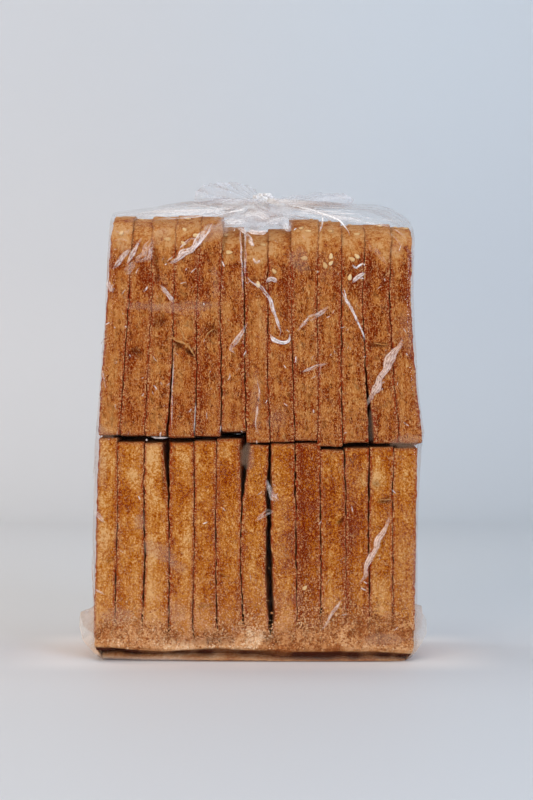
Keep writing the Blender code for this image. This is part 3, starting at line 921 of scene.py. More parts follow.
def buildFilm(material):
    # Rings up the walls, where each point climbs to its own place on the domes' edge, then over
    # the domes and pleated to the neck. Smaller rings close the foot.
    across, depth, setIn = bagOutline()
    count = len(across)

    def outline(z):
        # x all round: left wall + width x share across + what the corners set in.
        left, right = wallX(z)
        return left + (right - left) * across + setIn

    # Outward direction of each point, for the wrinkles.
    alongX, alongY = [np.roll(values, -1) - np.roll(values, 1) for values in (outline(120.0), depth)]
    length = np.hypot(alongX, alongY)
    outX, outY = alongY / length, -alongX / length
    rings, haze = [], []
    topX = outline(200.0)
    edgeZ = domeHeight(topX, depth)
    lowest = edgeZ.min()
    levels = int((lowest - bag["footRise"]) / bag["wallStep"])
    foot = bag["footRise"] * (1 - np.cos(np.linspace(0, math.pi / 2, bag["footRings"])))
    cornerIn = 1.0 + (bag["cornerIn"] - 1.0) * ease(16, 40, np.abs(depth))
    for base in np.concatenate([foot[:-1], np.linspace(bag["footRise"], lowest, levels)]):
        z = bag["floorGap"] + base + (edgeZ - lowest) * ease(lowest * 0.35, lowest, base)
        x = outline(z)
        inward = topOf(x)[2] * footRound(z) + seamDip(z)
        y = depth * (1 - inward / bag["half"])
        x = drawnIn(x, cornerIn * footRound(z))
        wave = filmWrinkles(x, y, z) * ease(0.0, 6.0, z)
        x, y = x + outX * wave, y + outY * wave
        rings.append(np.stack([x, y, z], -1))
        haze.append(filmHaze(x, y, z, np.zeros(count), 0.0))
    angle = np.arctan2(depth * 1.6, topX - bag["neckX"])
    neckX = bag["neckX"] + bag["neckRadius"] * np.cos(angle)
    neckY = bag["neckRadius"] * np.sin(angle)
    phase = bag["pleats"] * angle + 2.0 * noise(angle * 2.2, 0, 0, 560)
    pleats = 1 - 2 * np.abs(np.sin(phase)) ** 0.8
    for turn in np.linspace(0, math.pi / 2, bag["topRings"] + 1)[1:]:
        share = 1 - math.cos(turn) ** (2 / rusk["domePower"])
        x, y = topX + (neckX - topX) * share, depth + (neckY - depth) * share
        rise, atNeck = ease(0.25, 0.9, share), ease(0.9, 1.0, share)
        z = bag["floorGap"] + domeHeight(x, y)
        z = z + (bag["neckZ"] - z) * ease(0.93, 1.0, share)
        z = z + bag["pleat"] * pleats * rise * (1 - 0.5 * atNeck)
        z = z + bag["crumple"] * rise * (1 - atNeck) * layered(x / 8, y / 6, 0, 570, 2)
        wave = filmWrinkles(x, y, z) * (1 - share)
        rings.append(np.stack([x + outX * wave, y + outY * wave, z], -1))
        haze.append(filmHaze(x, y, z, angle, share))
    inner = []
    for share in (0.25, 0.5, 0.72, 0.9):
        inner.append(np.column_stack([rings[0][:, :2] * share, np.full(count, bag["floorGap"])]))
    poles = [[0.0, 0.0, bag["floorGap"]], [bag["neckX"], 0.0, bag["neckZ"] + 1.0]]
    points = np.vstack(inner + rings + [poles])
    faces = closedRings(len(inner) + len(rings), count)
    # Gathered film near the knot is whiter.
    near = np.hypot(points[:, 0] - bag["neckX"], points[:, 1] * 0.8)
    attributes = {
        "haze": np.concatenate([np.full(count * len(inner), 0.1)] + haze + [[0.1, 0.5]]),
        "tan": filmBreadBounce(*points.T),
        "bright": 0.85 * ease(40, 10, near) * ease(203, 210, points[:, 2]),
    }
    makePiece("film_bag", points, faces, material, attributes, True)


filmGloss = {
    "facing": 0.0035,       # share that reflects where the film faces the eye
    "grazing": 0.30,        # and what is added at a grazing angle
    "roughness": 0.06,
    "milkMost": 0.92,
    "milkRoughness": 0.35,
}


def filmFinish(name, milky=srgb(200, 198, 200), bounceColour=srgb(206, 150, 98), streaky=0.28):
    # Clear film: it reflects by its slope to the eye, and is milky where its haze says so; the milk is tinted
    # with a painted bounce of the bread's colour near the bread, and whiter near the knot.
    look = Finish(name)
    haze, tan, bright = look.attributes("haze", "tan", "bright")
    streak = look.grain(look.place(), 0.9, 3.0, 0.65)
    share = haze * look.span(streak, 0.2, 0.75, 1.0 - streaky, 1.0 + streaky)
    slope = look.add("ShaderNodeLayerWeight", None, {"Blend": 0.5}, "Facing")
    reflect = slope ** 5.0 * filmGloss["grazing"] + filmGloss["facing"]
    sockets = {"Roughness": filmGloss["roughness"], "Color": (1.0, 1.0, 1.0)}
    gloss = look.add("ShaderNodeBsdfAnisotropic", None, sockets)
    colour = look.mix(bright, look.mix(tan, milky, bounceColour), srgb(250, 247, 245))
    milk = look.solid(colour, filmGloss["milkRoughness"], 0.6)
    film = look.blend(reflect, look.clear(), gloss)
    return look.surface(look.blend(share.maths("MINIMUM", filmGloss["milkMost"]), film, milk))


buildFilm(filmFinish("film"))
print("film bag: done")


# Creases are strips whose bright strands are painted highlights, partly the film's own whitening at a fold.
creaseStyle = {
    "step": 0.55,           # along a crease
    "strandGap": 0.55,
    "stand": 0.25,          # off the film
    "ridge": 0.35,
    "between": 0.58,        # milkiness between the strands
    # The bread's colour in a crease is a painted bounce of light from the bread.
    "tan": 0.45,            # how much of the bread's colour a strong crease takes
    "weakBounce": 0.95,        # and a weak one
    "bounceBelow": 203.0,
}
# Rays at the top: the side, how many, their near and far columns, and the rows they leave the
# knot at; then the upper and lower row of the film's top band at some columns.
knotStreaks = {
    "middle": (262, 207),
    "frontSeed": 57,        # of the random draws
    "backSeed": 61,
    "fans": ((-1, 30, (232, 114), (-9, 9)), (1, 24, (292, 410), (-6, 9))),
    "rows": {
        -1: ((112, 215, 222), (150, 209, 221), (180, 202, 220), (196, 199, 219), (240, 199, 224)),
        1: ((285, 202, 222), (330, 205, 222), (352, 206, 225), (390, 211, 228), (412, 224, 232)),
    },
    "half": (0.22, 0.55),
    "strength": (0.12, 0.54),
    "broken": (0.15, 0.5),
}
glints = {
    "seed": 68,
    "count": 130,
    "columns": (102, 408),
    "rows": (228, 640),
    "sparseBelow": 450,
    "dropped": 0.55,
    "length": (1.0, 4.5),
    "half": (0.18, 0.45),
    "strength": (0.30, 0.95),
    "broken": (0.2, 0.6),
}
behind = {
    "seed": 83,
    # side, how many large and small folds it has, and how far from its middle they reach
    "walls": (("back", 26, 60, 66.0), ("left", 10, 24, 34.0), ("right", 10, 24, 34.0)),
    "heights": (14.0, 196.0),
    "large": {"length": (4.0, 17.0), "half": (0.4, 1.3), "strength": (0.5, 1.0), "broken": (0.3, 0.5)},
    "small": {"length": (0.5, 2.2), "half": (0.18, 0.45), "strength": (0.3, 0.95), "broken": (0.3, 0.5)},
}
# The creases on the front, whose brightness is painted highlight, partly the film's own whitening: path in
# photo pixels, half width in mm, strength, share that is broken up, and for some how much painted bounce of
# the bread's colour they take.
creases = (
    (((240, 220), (241, 245), (242, 270), (243, 302)), 0.5, 0.5, 0.45, 0.2),
    (((244, 220), (245, 245), (245, 265), (246, 282)), 0.6, 0.45, 0.45, 0.2),
    (((246, 276), (250, 281), (257, 286), (262, 289)), 0.5, 0.6, 0.4),
    (((249, 282), (256, 285), (263, 289), (270, 300), (276, 318), (282, 334)), 0.9, 0.8, 0.5, 0),
    (((269, 334), (273, 340), (280, 342), (288, 340), (289, 333)), 1, 1, 0.1, 0),
    (((208, 225), (202, 234), (192, 247), (180, 256), (167, 263)), 1.7, 1, 0.35),
    (((213, 222), (208, 232), (199, 243), (190, 254)), 0.7, 0.8, 0.4),
    (((200, 237), (188, 241), (178, 249)), 0.8, 0.7, 0.5),
    (((143, 237), (137, 247), (131, 258), (127, 266)), 1.2, 0.8, 0.45),
    (((131, 249), (122, 257), (113, 269)), 1.3, 0.8, 0.45),
    (((160, 285), (167, 291), (171, 297), (174, 304)), 1.5, 0.75, 0.5),
    (((341, 290), (349, 304), (357, 321), (366, 342)), 0.8, 0.85, 0.62, 0),
    (((352, 264), (356, 268), (359, 266), (364, 263)), 0.7, 0.95, 0.3, 0.1),
    (((353, 284), (356, 279), (361, 275), (366, 272)), 0.9, 0.9, 0.35),
    (((356, 275), (360, 278), (365, 279)), 0.6, 0.8, 0.4),
    (((266, 283), (271, 280), (277, 283)), 1.3, 0.8, 0.2, 0.3),
    (((253, 257), (256, 262), (261, 259)), 0.7, 0.7, 0.4),
    (((114, 229), (119, 233), (126, 232), (131, 228)), 0.5, 0.5, 0.5),
    (((113, 241), (121, 239), (129, 242)), 0.5, 0.45, 0.5),
    (((344, 288), (346, 297), (345, 303)), 0.5, 0.8, 0.5, 0.1),
    (((392, 228), (400, 233), (408, 240)), 0.5, 0.4, 0.5),
    (((386, 231), (395, 238), (404, 248)), 0.5, 0.35, 0.55),
    (((106, 281), (110, 287), (114, 292)), 1.2, 0.6, 0.4),
    (((296, 331), (304, 325), (314, 317), (323, 311), (331, 305)), 1.3, 0.7, 0.55),
    (((301, 373), (310, 369), (319, 366), (328, 363)), 0.9, 0.7, 0.5),
    (((318, 345), (321, 362), (319, 385), (328, 402)), 0.6, 0.45, 0.75),
    (((404, 336), (397, 350), (388, 365), (378, 384), (366, 407)), 2.1, 1, 0.28, 0.8),
    (((389, 513), (384, 528), (376, 545), (367, 567), (360, 587)), 1.5, 1, 0.32, 0.8),
    (((343, 599), (334, 611), (326, 623), (321, 631)), 0.8, 0.6, 0.5),
    (((264, 480), (269, 488), (274, 496), (280, 502)), 1.8, 0.6, 0.5),
    (((257, 522), (262, 516), (268, 512), (274, 512)), 1.2, 0.55, 0.5),
    (((247, 321), (243, 331), (236, 341), (230, 349), (236, 355)), 1.1, 0.65, 0.5),
    (((257, 374), (259, 392), (257, 412), (256, 428), (262, 440)), 0.6, 0.55, 0.65),
    (((102, 368), (104, 380), (106, 392)), 0.6, 0.5, 0.6),
    (((94, 509), (99, 516), (105, 523)), 1, 0.6, 0.5),
    (((93, 588), (99, 591), (106, 595)), 0.8, 0.5, 0.5),
    (((174, 350), (173, 375), (172, 405), (171, 437)), 0.35, 0.6, 0.4),
    (((196, 400), (195, 418), (194, 436)), 0.35, 0.6, 0.35),
    (((221, 424), (220, 434)), 0.35, 0.6, 0.3),
    (((150, 436), (158, 438), (169, 438)), 0.5, 0.7, 0.3),
    (((284, 204), (300, 207), (320, 213), (338, 220), (347, 229), (350, 238)), 0.7, 0.95, 0.12),
    (((323, 214), (322, 224), (320, 233)), 0.5, 0.8, 0.25),
    (((245, 231), (256, 233), (268, 230)), 0.7, 0.7, 0.35),
    (((249, 239), (252, 243), (255, 246)), 0.8, 0.8, 0.3),
    (((112, 216), (135, 214), (160, 210), (190, 206), (220, 204)), 0.8, 0.35, 0.5),
    (((224, 219), (229, 222), (238, 223), (248, 220)), 1.6, 0.75, 0.3),
    (((246, 231), (256, 233), (262, 232), (268, 229)), 1.1, 0.85, 0.25),
    (((236, 229), (244, 231), (250, 238), (254, 245)), 0.9, 0.8, 0.45),
    (((284, 222), (288, 227), (292, 229)), 1.5, 0.55, 0.3),
    (((225, 213), (234, 211), (243, 210), (248, 207)), 0.8, 0.9, 0.3),
    (((240, 219), (252, 214), (262, 216), (272, 221)), 1.5, 0.55, 0.45),
    (((262, 226), (272, 222), (282, 219), (291, 214)), 1.5, 0.45, 0.5),
    (((152, 238), (147, 249), (142, 258), (139, 265)), 3, 0.55, 0.62),
    (((137, 262), (131, 268), (124, 275)), 1.6, 0.45, 0.55),
    (((118, 309), (150, 306), (185, 310), (222, 303)), 2.6, 0.1, 0.35),
    (((214, 262), (216, 285), (214, 303)), 1.6, 0.12, 0.5),
    (((366, 241), (377, 252), (388, 266)), 1.4, 0.3, 0.7),
    (((406, 236), (409, 262), (412, 300)), 0.8, 0.25, 0.6),
)


def fold(places, half, strength, broken, tan=None, side=None):
    # A crease: its path on the film in mm, and its looks. The front is the side that is not named.
    return {"places": places, "half": half, "strength": strength, "broken": broken, "tan": tan, "side": side}


def photoFold(path, *others):
    # A fold whose path is given in photo pixels.
    return fold([onFilm(*at) for at in path], *others)


def drawn(rng, style):
    # Half width, strength and broken share, drawn from a style's ranges.
    return [rng.uniform(*style[label]) for label in ("half", "strength", "broken")]


def streaksToKnot(seed, side=None):
    # Fine folds that run over the top from the knot to both sides, spread like rays; their brightness is
    # painted highlight, partly the film's own whitening.
    rng = np.random.default_rng(seed)
    rays, style = [], knotStreaks
    for hand, count, (nearColumn, farColumn), (high, low) in style["fans"]:
        columns, upper, lower = np.array(style["rows"][hand]).T
        for k in range(count):
            share = (k + rng.uniform(0.1, 0.9)) / count
            column = nearColumn + (farColumn - nearColumn) * share ** 0.7
            top, bottom = np.interp(column, columns, upper), np.interp(column, columns, lower)
            end = np.array([column, top + (bottom - top) * rng.uniform(0.0, 1.0) ** 0.8])
            root = np.array(style["middle"]) + [hand * rng.uniform(4, 22), rng.uniform(high, low)]
            first = root + (end - root) * rng.uniform(0.0, 0.55)
            middle = (first + end) / 2 + [0.0, rng.uniform(-1.5, 1.5)]
            rays.append(photoFold((first, middle, end), *drawn(rng, style), None, side))
    return rays


def smallGlints():
    # Painted highlights: short bright folds scattered over the front, most of them on the upper row.
    rng = np.random.default_rng(glints["seed"])
    found = []
    for _ in range(glints["count"]):
        column, row = rng.uniform(*glints["columns"]), rng.uniform(*glints["rows"])
        if row > glints["sparseBelow"] and rng.random() < glints["dropped"]:
            row = glints["rows"][0] + (row - glints["sparseBelow"])
        angle, length = rng.uniform(0.2, 2.6), rng.uniform(*glints["length"])
        dx, dy = length * math.cos(angle), -length * math.sin(angle)
        bend = rng.uniform(-0.3, 0.3) * length
        path = ((column - dx, row - dy), (column + bend, row), (column + dx, row + dy))
        found.append(photoFold(path, *drawn(rng, glints)))
    return found


def foldsBehind():
    # The back and the side walls have folds like the front's, with the same painted highlights, at places
    # drawn at random.
    rng = np.random.default_rng(behind["seed"])
    found = []
    for side, large, small, reach in behind["walls"]:
        for k in range(large + small):
            style = behind["large"] if k < large else behind["small"]
            angle, length = rng.uniform(0.5, 2.4), rng.uniform(*style["length"])
            place = np.array([rng.uniform(-reach, reach), rng.uniform(*behind["heights"])])
            along = np.array([math.cos(angle), math.sin(angle)]) * length
            bend = rng.uniform(-0.3, 0.3) * np.array([along[1], -along[0]])
            places = (place - along, place + bend, place + along)
            found.append(fold(places, *drawn(rng, style), None, side))
    return found


def onWall(side, u, z, proud):
    # A place on one of the film's four walls: u runs along the wall, and proud stands off it.
    if side in (None, "back"):
        y = filmFront(u, z) - proud
        y = y - np.abs(filmWrinkles(u, y, z))
        return u, (-y if side else y), z
    left, right = wallX(z)
    x = left - proud if side == "left" else right + proud
    wrinkle = np.abs(filmWrinkles(x, u, z))
    return (x - wrinkle if side == "left" else x + wrinkle), u, z


def creaseStrip(crease, k):
    # A strip along the crease, a little proud of the film. Bright strands run along it, painted highlights
    # that are partly the fold's own whitening, with faint film between them, and noise cuts both ragged.
    style, half = creaseStyle, crease["half"]
    curve, run = throughPoints(np.array(crease["places"]), style["step"])
    strands = max(int(round(half / style["strandGap"])), 1)
    across = np.linspace(-1, 1, 7 + 4 * (strands - 1))[None, :]
    along = directionOf(curve)
    normal = np.stack([-along[:, 1], along[:, 0]], -1)
    run = run[:, None]
    share = run / run[-1]
    ends = np.minimum(np.minimum(share, 1 - share) * 4, 1) ** 0.8
    width = half * ends * (1 + 0.30 * noise(run / 3.1, 0, 0, 700 + k))
    wander = half * 0.5 * noise(run / 4.5, 5.0, 0, 740 + k)
    x, z = [curve[:, i:i + 1] + normal[:, i:i + 1] * (across * width + wander) for i in (0, 1)]
    # A strand lies where the wave across the strip peaks; it wavers along the run.
    waver = 0.7 * noise(run / 5.0, across * 1.3, 0, 860 + k)
    wave = np.cos(math.pi * strands * (across + 1 / strands - 1 + waver / max(strands, 2)))
    strand = ease(0.25, 0.85, wave) if strands > 1 else ease(1.0, 0.35, np.abs(across))
    ridge = style["ridge"] * (1 - np.abs(across)) * np.minimum(width, 1.2)
    x, y, z = np.broadcast_arrays(*onWall(crease["side"], x, z, style["stand"] + ridge + 0.12 * strand))
    ragged = 0.75 * noise(run / 3.4, across * strands * 0.9, 0, 780 + k)
    ragged = ragged + 0.45 * noise(run / 1.1, across * strands * 1.6, 0, 820 + k)
    cut = 1.5 * (crease["broken"] - 0.6)
    bright = ease(cut - 0.20, cut + 0.45, ragged + 0.15)
    filled = ease(cut - 0.75, cut + 0.1, ragged) * style["between"]
    rim = ease(1.0, 0.75, np.abs(across)) * ends
    haze = crease["strength"] * rim * np.maximum(strand * bright, filled)
    tan = crease["tan"]
    if tan is None:
        weak = ease(0.7, 0.35, crease["strength"])
        tan = style["tan"] + (style["weakBounce"] - style["tan"]) * weak if z.mean() < style["bounceBelow"] else 0.0
    return np.stack([x, y, z], -1), haze, tan


def buildCreases(material):
    # The strips of all the folds, in one mesh.
    allPoints, allFaces, allHaze, allBounce, start = [], [], [], [], 0
    folds = [photoFold(*crease) for crease in creases]
    folds = folds + streaksToKnot(knotStreaks["frontSeed"]) + smallGlints()
    folds = folds + streaksToKnot(knotStreaks["backSeed"], "back") + foldsBehind()
    for k, crease in enumerate(folds):
        points, haze, tan = creaseStrip(crease, k)
        flip = crease["side"] in ("back", "right")
        allPoints.append(points.reshape(-1, 3))
        allHaze.append(haze.reshape(-1))
        allBounce.append(np.full(haze.size, tan))
        allFaces.append(gridQuads(*haze.shape, start=start, flip=flip))
        start += haze.size
    attributes = {"haze": np.concatenate(allHaze), "tan": np.concatenate(allBounce)}
    faces = [np.vstack(allFaces)]
    makePiece("film_creases", np.vstack(allPoints), faces, material, attributes, True)


def creaseFinish():
    # Only the bright folds show, a painted highlight tinted by a painted bounce of the bread's colour; the
    # rest of each strip is clear.
    look = Finish("film_crease_highlight")
    haze, tan = look.attributes("haze", "tan")
    highlightWhite = look.solid(look.mix(tan, srgb(255, 248, 243), srgb(232, 188, 160)), 0.3, 0.9)
    crumpled = look.grain(look.place(), 0.8, 2.0, 0.6)
    share = haze * look.span(crumpled, 0.32, 0.58, 0.50, 1.0)
    return look.surface(look.blend(share, look.clear(), highlightWhite))


buildCreases(creaseFinish())
print("creases:", len(creases))


knot = {
    "centre": (5.6, 0.0, 217.6),
    "radius": (7.2, 5.8, 6.6),
    "points": 72,
    "rings": 44,
    "folds": 7,
    "foldHeight": 1.6,
    "lump": 0.7,
    "meanRadius": 7.0,      # over which the folds and lumps are shared out
    "twist": 1.7,
}
# Each ear: outer edge in photo pixels from its lower corner to its upper one, pleats and depth.
ears = (
    {
        "name": "film_ear_left",
        "edge": ((196, 203), (194, 197), (199, 189), (206, 185.5), (216, 183.6), (228, 182.7),
                 (240, 183.4), (248, 185.0), (255, 189)),
        "pleats": 5.0, "swing": 1.9, "lean": -2.0, "seed": 900,
    },
    {
        "name": "film_ear_right",
        "edge": ((350, 206), (353, 201), (350, 196), (342, 193.4), (330, 192.6), (314, 193),
                 (300, 194.4), (288, 196.4), (279, 197)),
        "pleats": 4.5, "swing": 1.7, "lean": 2.0, "seed": 930,
    },
)
earStyle = {
    "step": 0.45,           # along the edge
    "rays": 64,             # rows from the knot to the edge
    "rootWidth": 0.08,      # of the ear's own, where it leaves the knot
    "rootHeight": 0.12,
    "crumple": 1.3,
    "ragged": 0.8,
    "haze": 0.19,
    "creaseHaze": 0.09,
    "cloudHaze": 0.24,
    "edgeHaze": 0.12,
    "rootHaze": 0.25,
}
# Outer edge of each folded corner from its tip to the bag's front, and the same to the back.
flaps = {
    "left": ((-84.4, -1, 19.0), (-84.2, -10, 13.4), (-82.0, -19, 8.6), (-77.6, -29, 4.8),
             (-72.8, -38, 2.4), (-69.6, -43, 0.8)),
    "right": ((82.6, -1, 22.5), (84.4, -9, 16.5), (84.2, -17, 11.5), (81.6, -26, 7.4),
              (78.0, -34, 3.8), (73.2, -42, 0.8)),
    "rear": (1.0, -0.96, 0.92),    # the front's edge, carried to the back
    "rootTop": 25.0,
    "rootLow": 0.4,
    "reach": 42.0,          # half depth of the arch it leaves the wall by
    "rows": 18,
    "half": 34,
    "belly": 1.4,
    "wave": 0.6,
    "haze": 0.34,
}


def buildKnot(material):
    # A lumpy ball with twisted folds: radius x (1 + folds + lumps), closed by two poles.
    around = np.arange(knot["points"]) * 2 * math.pi / knot["points"]
    upward = np.linspace(-math.pi / 2, math.pi / 2, knot["rings"] + 2)[1:-1]
    angle, tilt = np.meshgrid(around, upward)
    ball = np.stack([np.cos(angle) * np.cos(tilt), np.sin(angle) * np.cos(tilt), np.sin(tilt)], -1)
    x, y, z = np.moveaxis(ball, -1, 0)
    waver = 1.2 * noise(x * 1.5, y * 1.5, z * 1.5, 860)
    pleat = np.abs(np.sin(knot["folds"] * (angle + knot["twist"] * tilt) / 2 + waver))
    lump = layered(x * 2.4, y * 2.4, z * 2.4, 870, 3)
    relief = knot["foldHeight"] * (0.5 - pleat ** 0.7) + knot["lump"] * lump
    grow = 1 + relief / knot["meanRadius"]
    centre, radius = np.array(knot["centre"]), np.array(knot["radius"])
    poles = [centre - radius * [0, 0, 1], centre + radius * [0, 0, 1]]
    points = np.vstack([(centre + radius * grow[..., None] * ball).reshape(-1, 3), poles])
    milk = 0.30 + 0.60 * ease(0.50, 0.1, pleat) + 0.15 * ease(0, 0.8, lump)
    attributes = {"haze": np.append(milk, [0.4, 0.4])}
    faces = closedRings(knot["rings"], knot["points"])
    makePiece("film_knot", points, faces, material, attributes, True)


def buildEar(ear, material):
    # Rays from the knot to the ear's edge, pleated like a fan and crumpled towards the edge.
    style, seed = earStyle, ear["seed"]
    edge = [alongCamera(*fromPhoto(*at), rusk["depth"] / 2) for at in ear["edge"]]
    curve, run = throughPoints(edge, style["step"])
    edgeX, edgeZ = curve.T[:, None, :]
    cx, cy, cz = knot["centre"]
    share = np.linspace(0, 1, style["rays"])[:, None]
    v = (run / run[-1])[None, :]
    rootX, rootZ = cx + (edgeX - cx) * style["rootWidth"], cz + 0.5 + (edgeZ - cz) * style["rootHeight"]
    x, z = rootX + (edgeX - rootX) * share, rootZ + (edgeZ - rootZ) * share
    phase = ear["pleats"] * math.pi * v + 1.6 * noise(v * 5, share * 2, 0, seed)
    pleat = 1 - 2 * np.abs(np.sin(phase)) ** 0.75
    swing = ear["swing"] * (0.25 + 0.75 * share) * share ** 0.3
    y = cy + swing * 0.5 * pleat + ear["lean"] * share
    y = y + style["crumple"] * share * layered(x / 6, z / 5, 0, seed + 3, 3)
    ragged = style["ragged"] * share ** 2 * noise(v * 26, 0, 0, seed + 5)
    x, z = x + ragged * np.sign(edgeX - cx) * 0.5, z + ragged * 0.6
    z = z + 0.35 * share * layered(x / 4, y / 3, z / 3, seed + 9, 2)
    crease = ease(0.55, 0.95, np.abs(np.cos(phase)))
    cloud = ease(0.1, 0.8, noise(v * 16, share * 2, 0, seed + 11))
    haze = style["haze"] + style["creaseHaze"] * crease + style["cloudHaze"] * cloud
    haze = haze + 0.10 * layered(x / 5, z / 4, 0, seed + 15, 2)
    haze = haze + style["edgeHaze"] * ease(0.96, 1.0, share) + style["rootHaze"] * ease(0.35, 0.0, share)
    points = np.stack(np.broadcast_arrays(x, y, z), -1)
    faces = [gridQuads(*points.shape[:2])]
    makePiece(ear["name"], points, faces, material, {"haze": haze}, True)


def buildFlap(name, side, material):
    # A limp fold: from an arch on the side wall out to its own edge, which runs from the front's
    # foot out to a tip and back to the rear's foot, with a belly and crumples in between.
    table = np.array(flaps[name], float)
    run = runOf(table)
    even = np.linspace(0, run[-1], flaps["half"])
    half = np.stack([np.interp(even, run, table[:, k]) for k in range(3)], -1)
    outer = np.vstack([half[::-1], half[1:] * np.array(flaps["rear"])])
    shake = noise(even[-1] * 0.1 + outer[:, 1:2] / 6, outer[:, 2:] / 5, np.array([[0, 3, 6]]), 955)
    outer = outer + 0.5 * shake
    deep = outer[:, 1]
    fromTip = np.abs(deep)
    rise = np.clip(1 - (fromTip / flaps["reach"]) ** 1.7, 0, 1)
    arch = flaps["rootLow"] + (flaps["rootTop"] - flaps["rootLow"]) * rise
    left, right = wallX(arch)
    wall = (right if side > 0 else left) - side * (0.8 + 2.6 * ease(9, 0, arch))
    wall = np.where(fromTip > 36, outer[:, 0] - side * 0.4, wall)
    root = np.stack([wall, deep * 0.94, arch], -1)
    u = np.linspace(0, 1, flaps["rows"])[:, None]
    x, y, z = np.moveaxis(root[None] * (1 - u[..., None]) + outer[None] * u[..., None], -1, 0)
    belly = flaps["belly"] * np.sin(math.pi * u) * (1 - fromTip / flaps["reach"])
    crumple = flaps["wave"] * layered(x / 4, y / 5, z / 4, 960 + side, 3)
    crumple = crumple * np.sin(math.pi * u * 0.75) * ease(42, 30, fromTip)
    x, y = x + side * (belly * 0.3 + crumple * 0.4), y + crumple
    z = np.maximum(z - belly * 0.6 + crumple * 0.5, 0.35)
    haze = flaps["haze"] + 0.20 * ease(-0.4, 0.8, noise(y / 9, x / 5, z / 5, 980 + side))
    haze = haze + 0.30 * ease(0.95, 1.0, u) + 0.30 * ease(28, 38, fromTip)
    # Painted bounce of the bread's colour near the flap's root and low down.
    tan = np.clip(ease(0.95, 0.1, u) + ease(14, 3, z) - 0.3, 0, 1)
    points = np.stack([x, y, z], -1)
    faces = [gridQuads(*points.shape[:2], flip=side < 0)]
    makePiece(f"film_flap_{name}", points, faces, material, {"haze": haze, "tan": tan}, True)


buildKnot(filmFinish("film_knot", srgb(252, 249, 247)))
earLook = filmFinish("film_ear", srgb(214, 211, 213))
for ear in ears:
    buildEar(ear, earLook)
flapLook = filmFinish("film_fold", srgb(232, 214, 198), srgb(228, 184, 144), 0.12)
buildFlap("left", -1, flapLook)
buildFlap("right", 1, flapLook)
print("knot, ears and folded corners: done")


sesame = {
    "seed": 31,             # of the random draws
    "size": (3.0, 1.9, 0.85),
    "rings": 7,
    "around": 10,
    "sunk": 0.15,
    "scale": (0.85, 1.12),
    "scattered": 46,
    "behindShare": 0.6,     # of the scattered ones, behind the domes' middle
    "reach": 0.93,          # of half the depth, to both sides of the middle
}
# Seeds seen on the front, in photo pixels.
shownSeeds = (
    (184, 229), (167, 239), (183, 243), (196, 235), (263, 244), (331, 256), (325, 265), (331, 263),
    (352, 259), (357, 256), (350, 277), (304, 258), (274, 271), (258, 284), (121, 233), (229, 252),
    (305, 588), (155, 634),
)


def sliceAt(row, x, z):
    # Number of the slice at a place: the last one whose left boundary is left of it.
    boundaries = np.array([np.interp(z, row["heights"], edge) for edge in row["edges"]])
    return int(np.clip(np.searchsorted(boundaries, x) - 1, 0, len(row["tops"]) - 1))


def domeNormal(across, up, hand=1):
    # Outward y and z on a dome: each share^(power - 1) over its half axis, made unit length.
    power = rusk["domePower"]
    outY = math.copysign(abs(across) ** (power - 1) / (rusk["depth"] / 2), across)
    outZ = up ** (power - 1) / rusk["domeRise"] * hand
    length = math.hypot(outY, outZ)
    return outY / length, outZ / length


def breadFront(x, z):
    # y and outward normal of the slice's front at a place.
    row = upperRow if z > rusk["rowsMeet"] else lowerRow
    index = sliceAt(row, x, z)
    rise, hand = rusk["domeRise"], 1 if row["domeUp"] else -1
    up = z - (row["tops"][index] - rise) if row["domeUp"] else row["bottoms"][index] + rise - z
    share = np.clip(up / rise, 0, 0.985)
    across = -superellipse(share, rusk["domePower"])
    return (rusk["depth"] / 2 * across + row["setBack"][index], *domeNormal(across, share, hand))


def seedShape():
    # An ellipsoid drawn to a point at one end, with a pole at each end.
    turn = np.linspace(0, math.pi, sesame["rings"] + 2)[1:-1, None]
    around = np.arange(sesame["around"])[None, :] * 2 * math.pi / sesame["around"]
    taper = np.sin(turn) * (1 - 0.35 * np.cos(turn))
    x = np.broadcast_to(np.cos(turn), (len(turn), sesame["around"]))
    points = np.stack([x, taper * np.cos(around), taper * np.sin(around)], -1).reshape(-1, 3)
    points = np.vstack([points, [[1, 0, 0], [-1, 0, 0]]]) * np.array(sesame["size"]) / 2
    return points, closedRings(sesame["rings"], sesame["around"], flip=True)


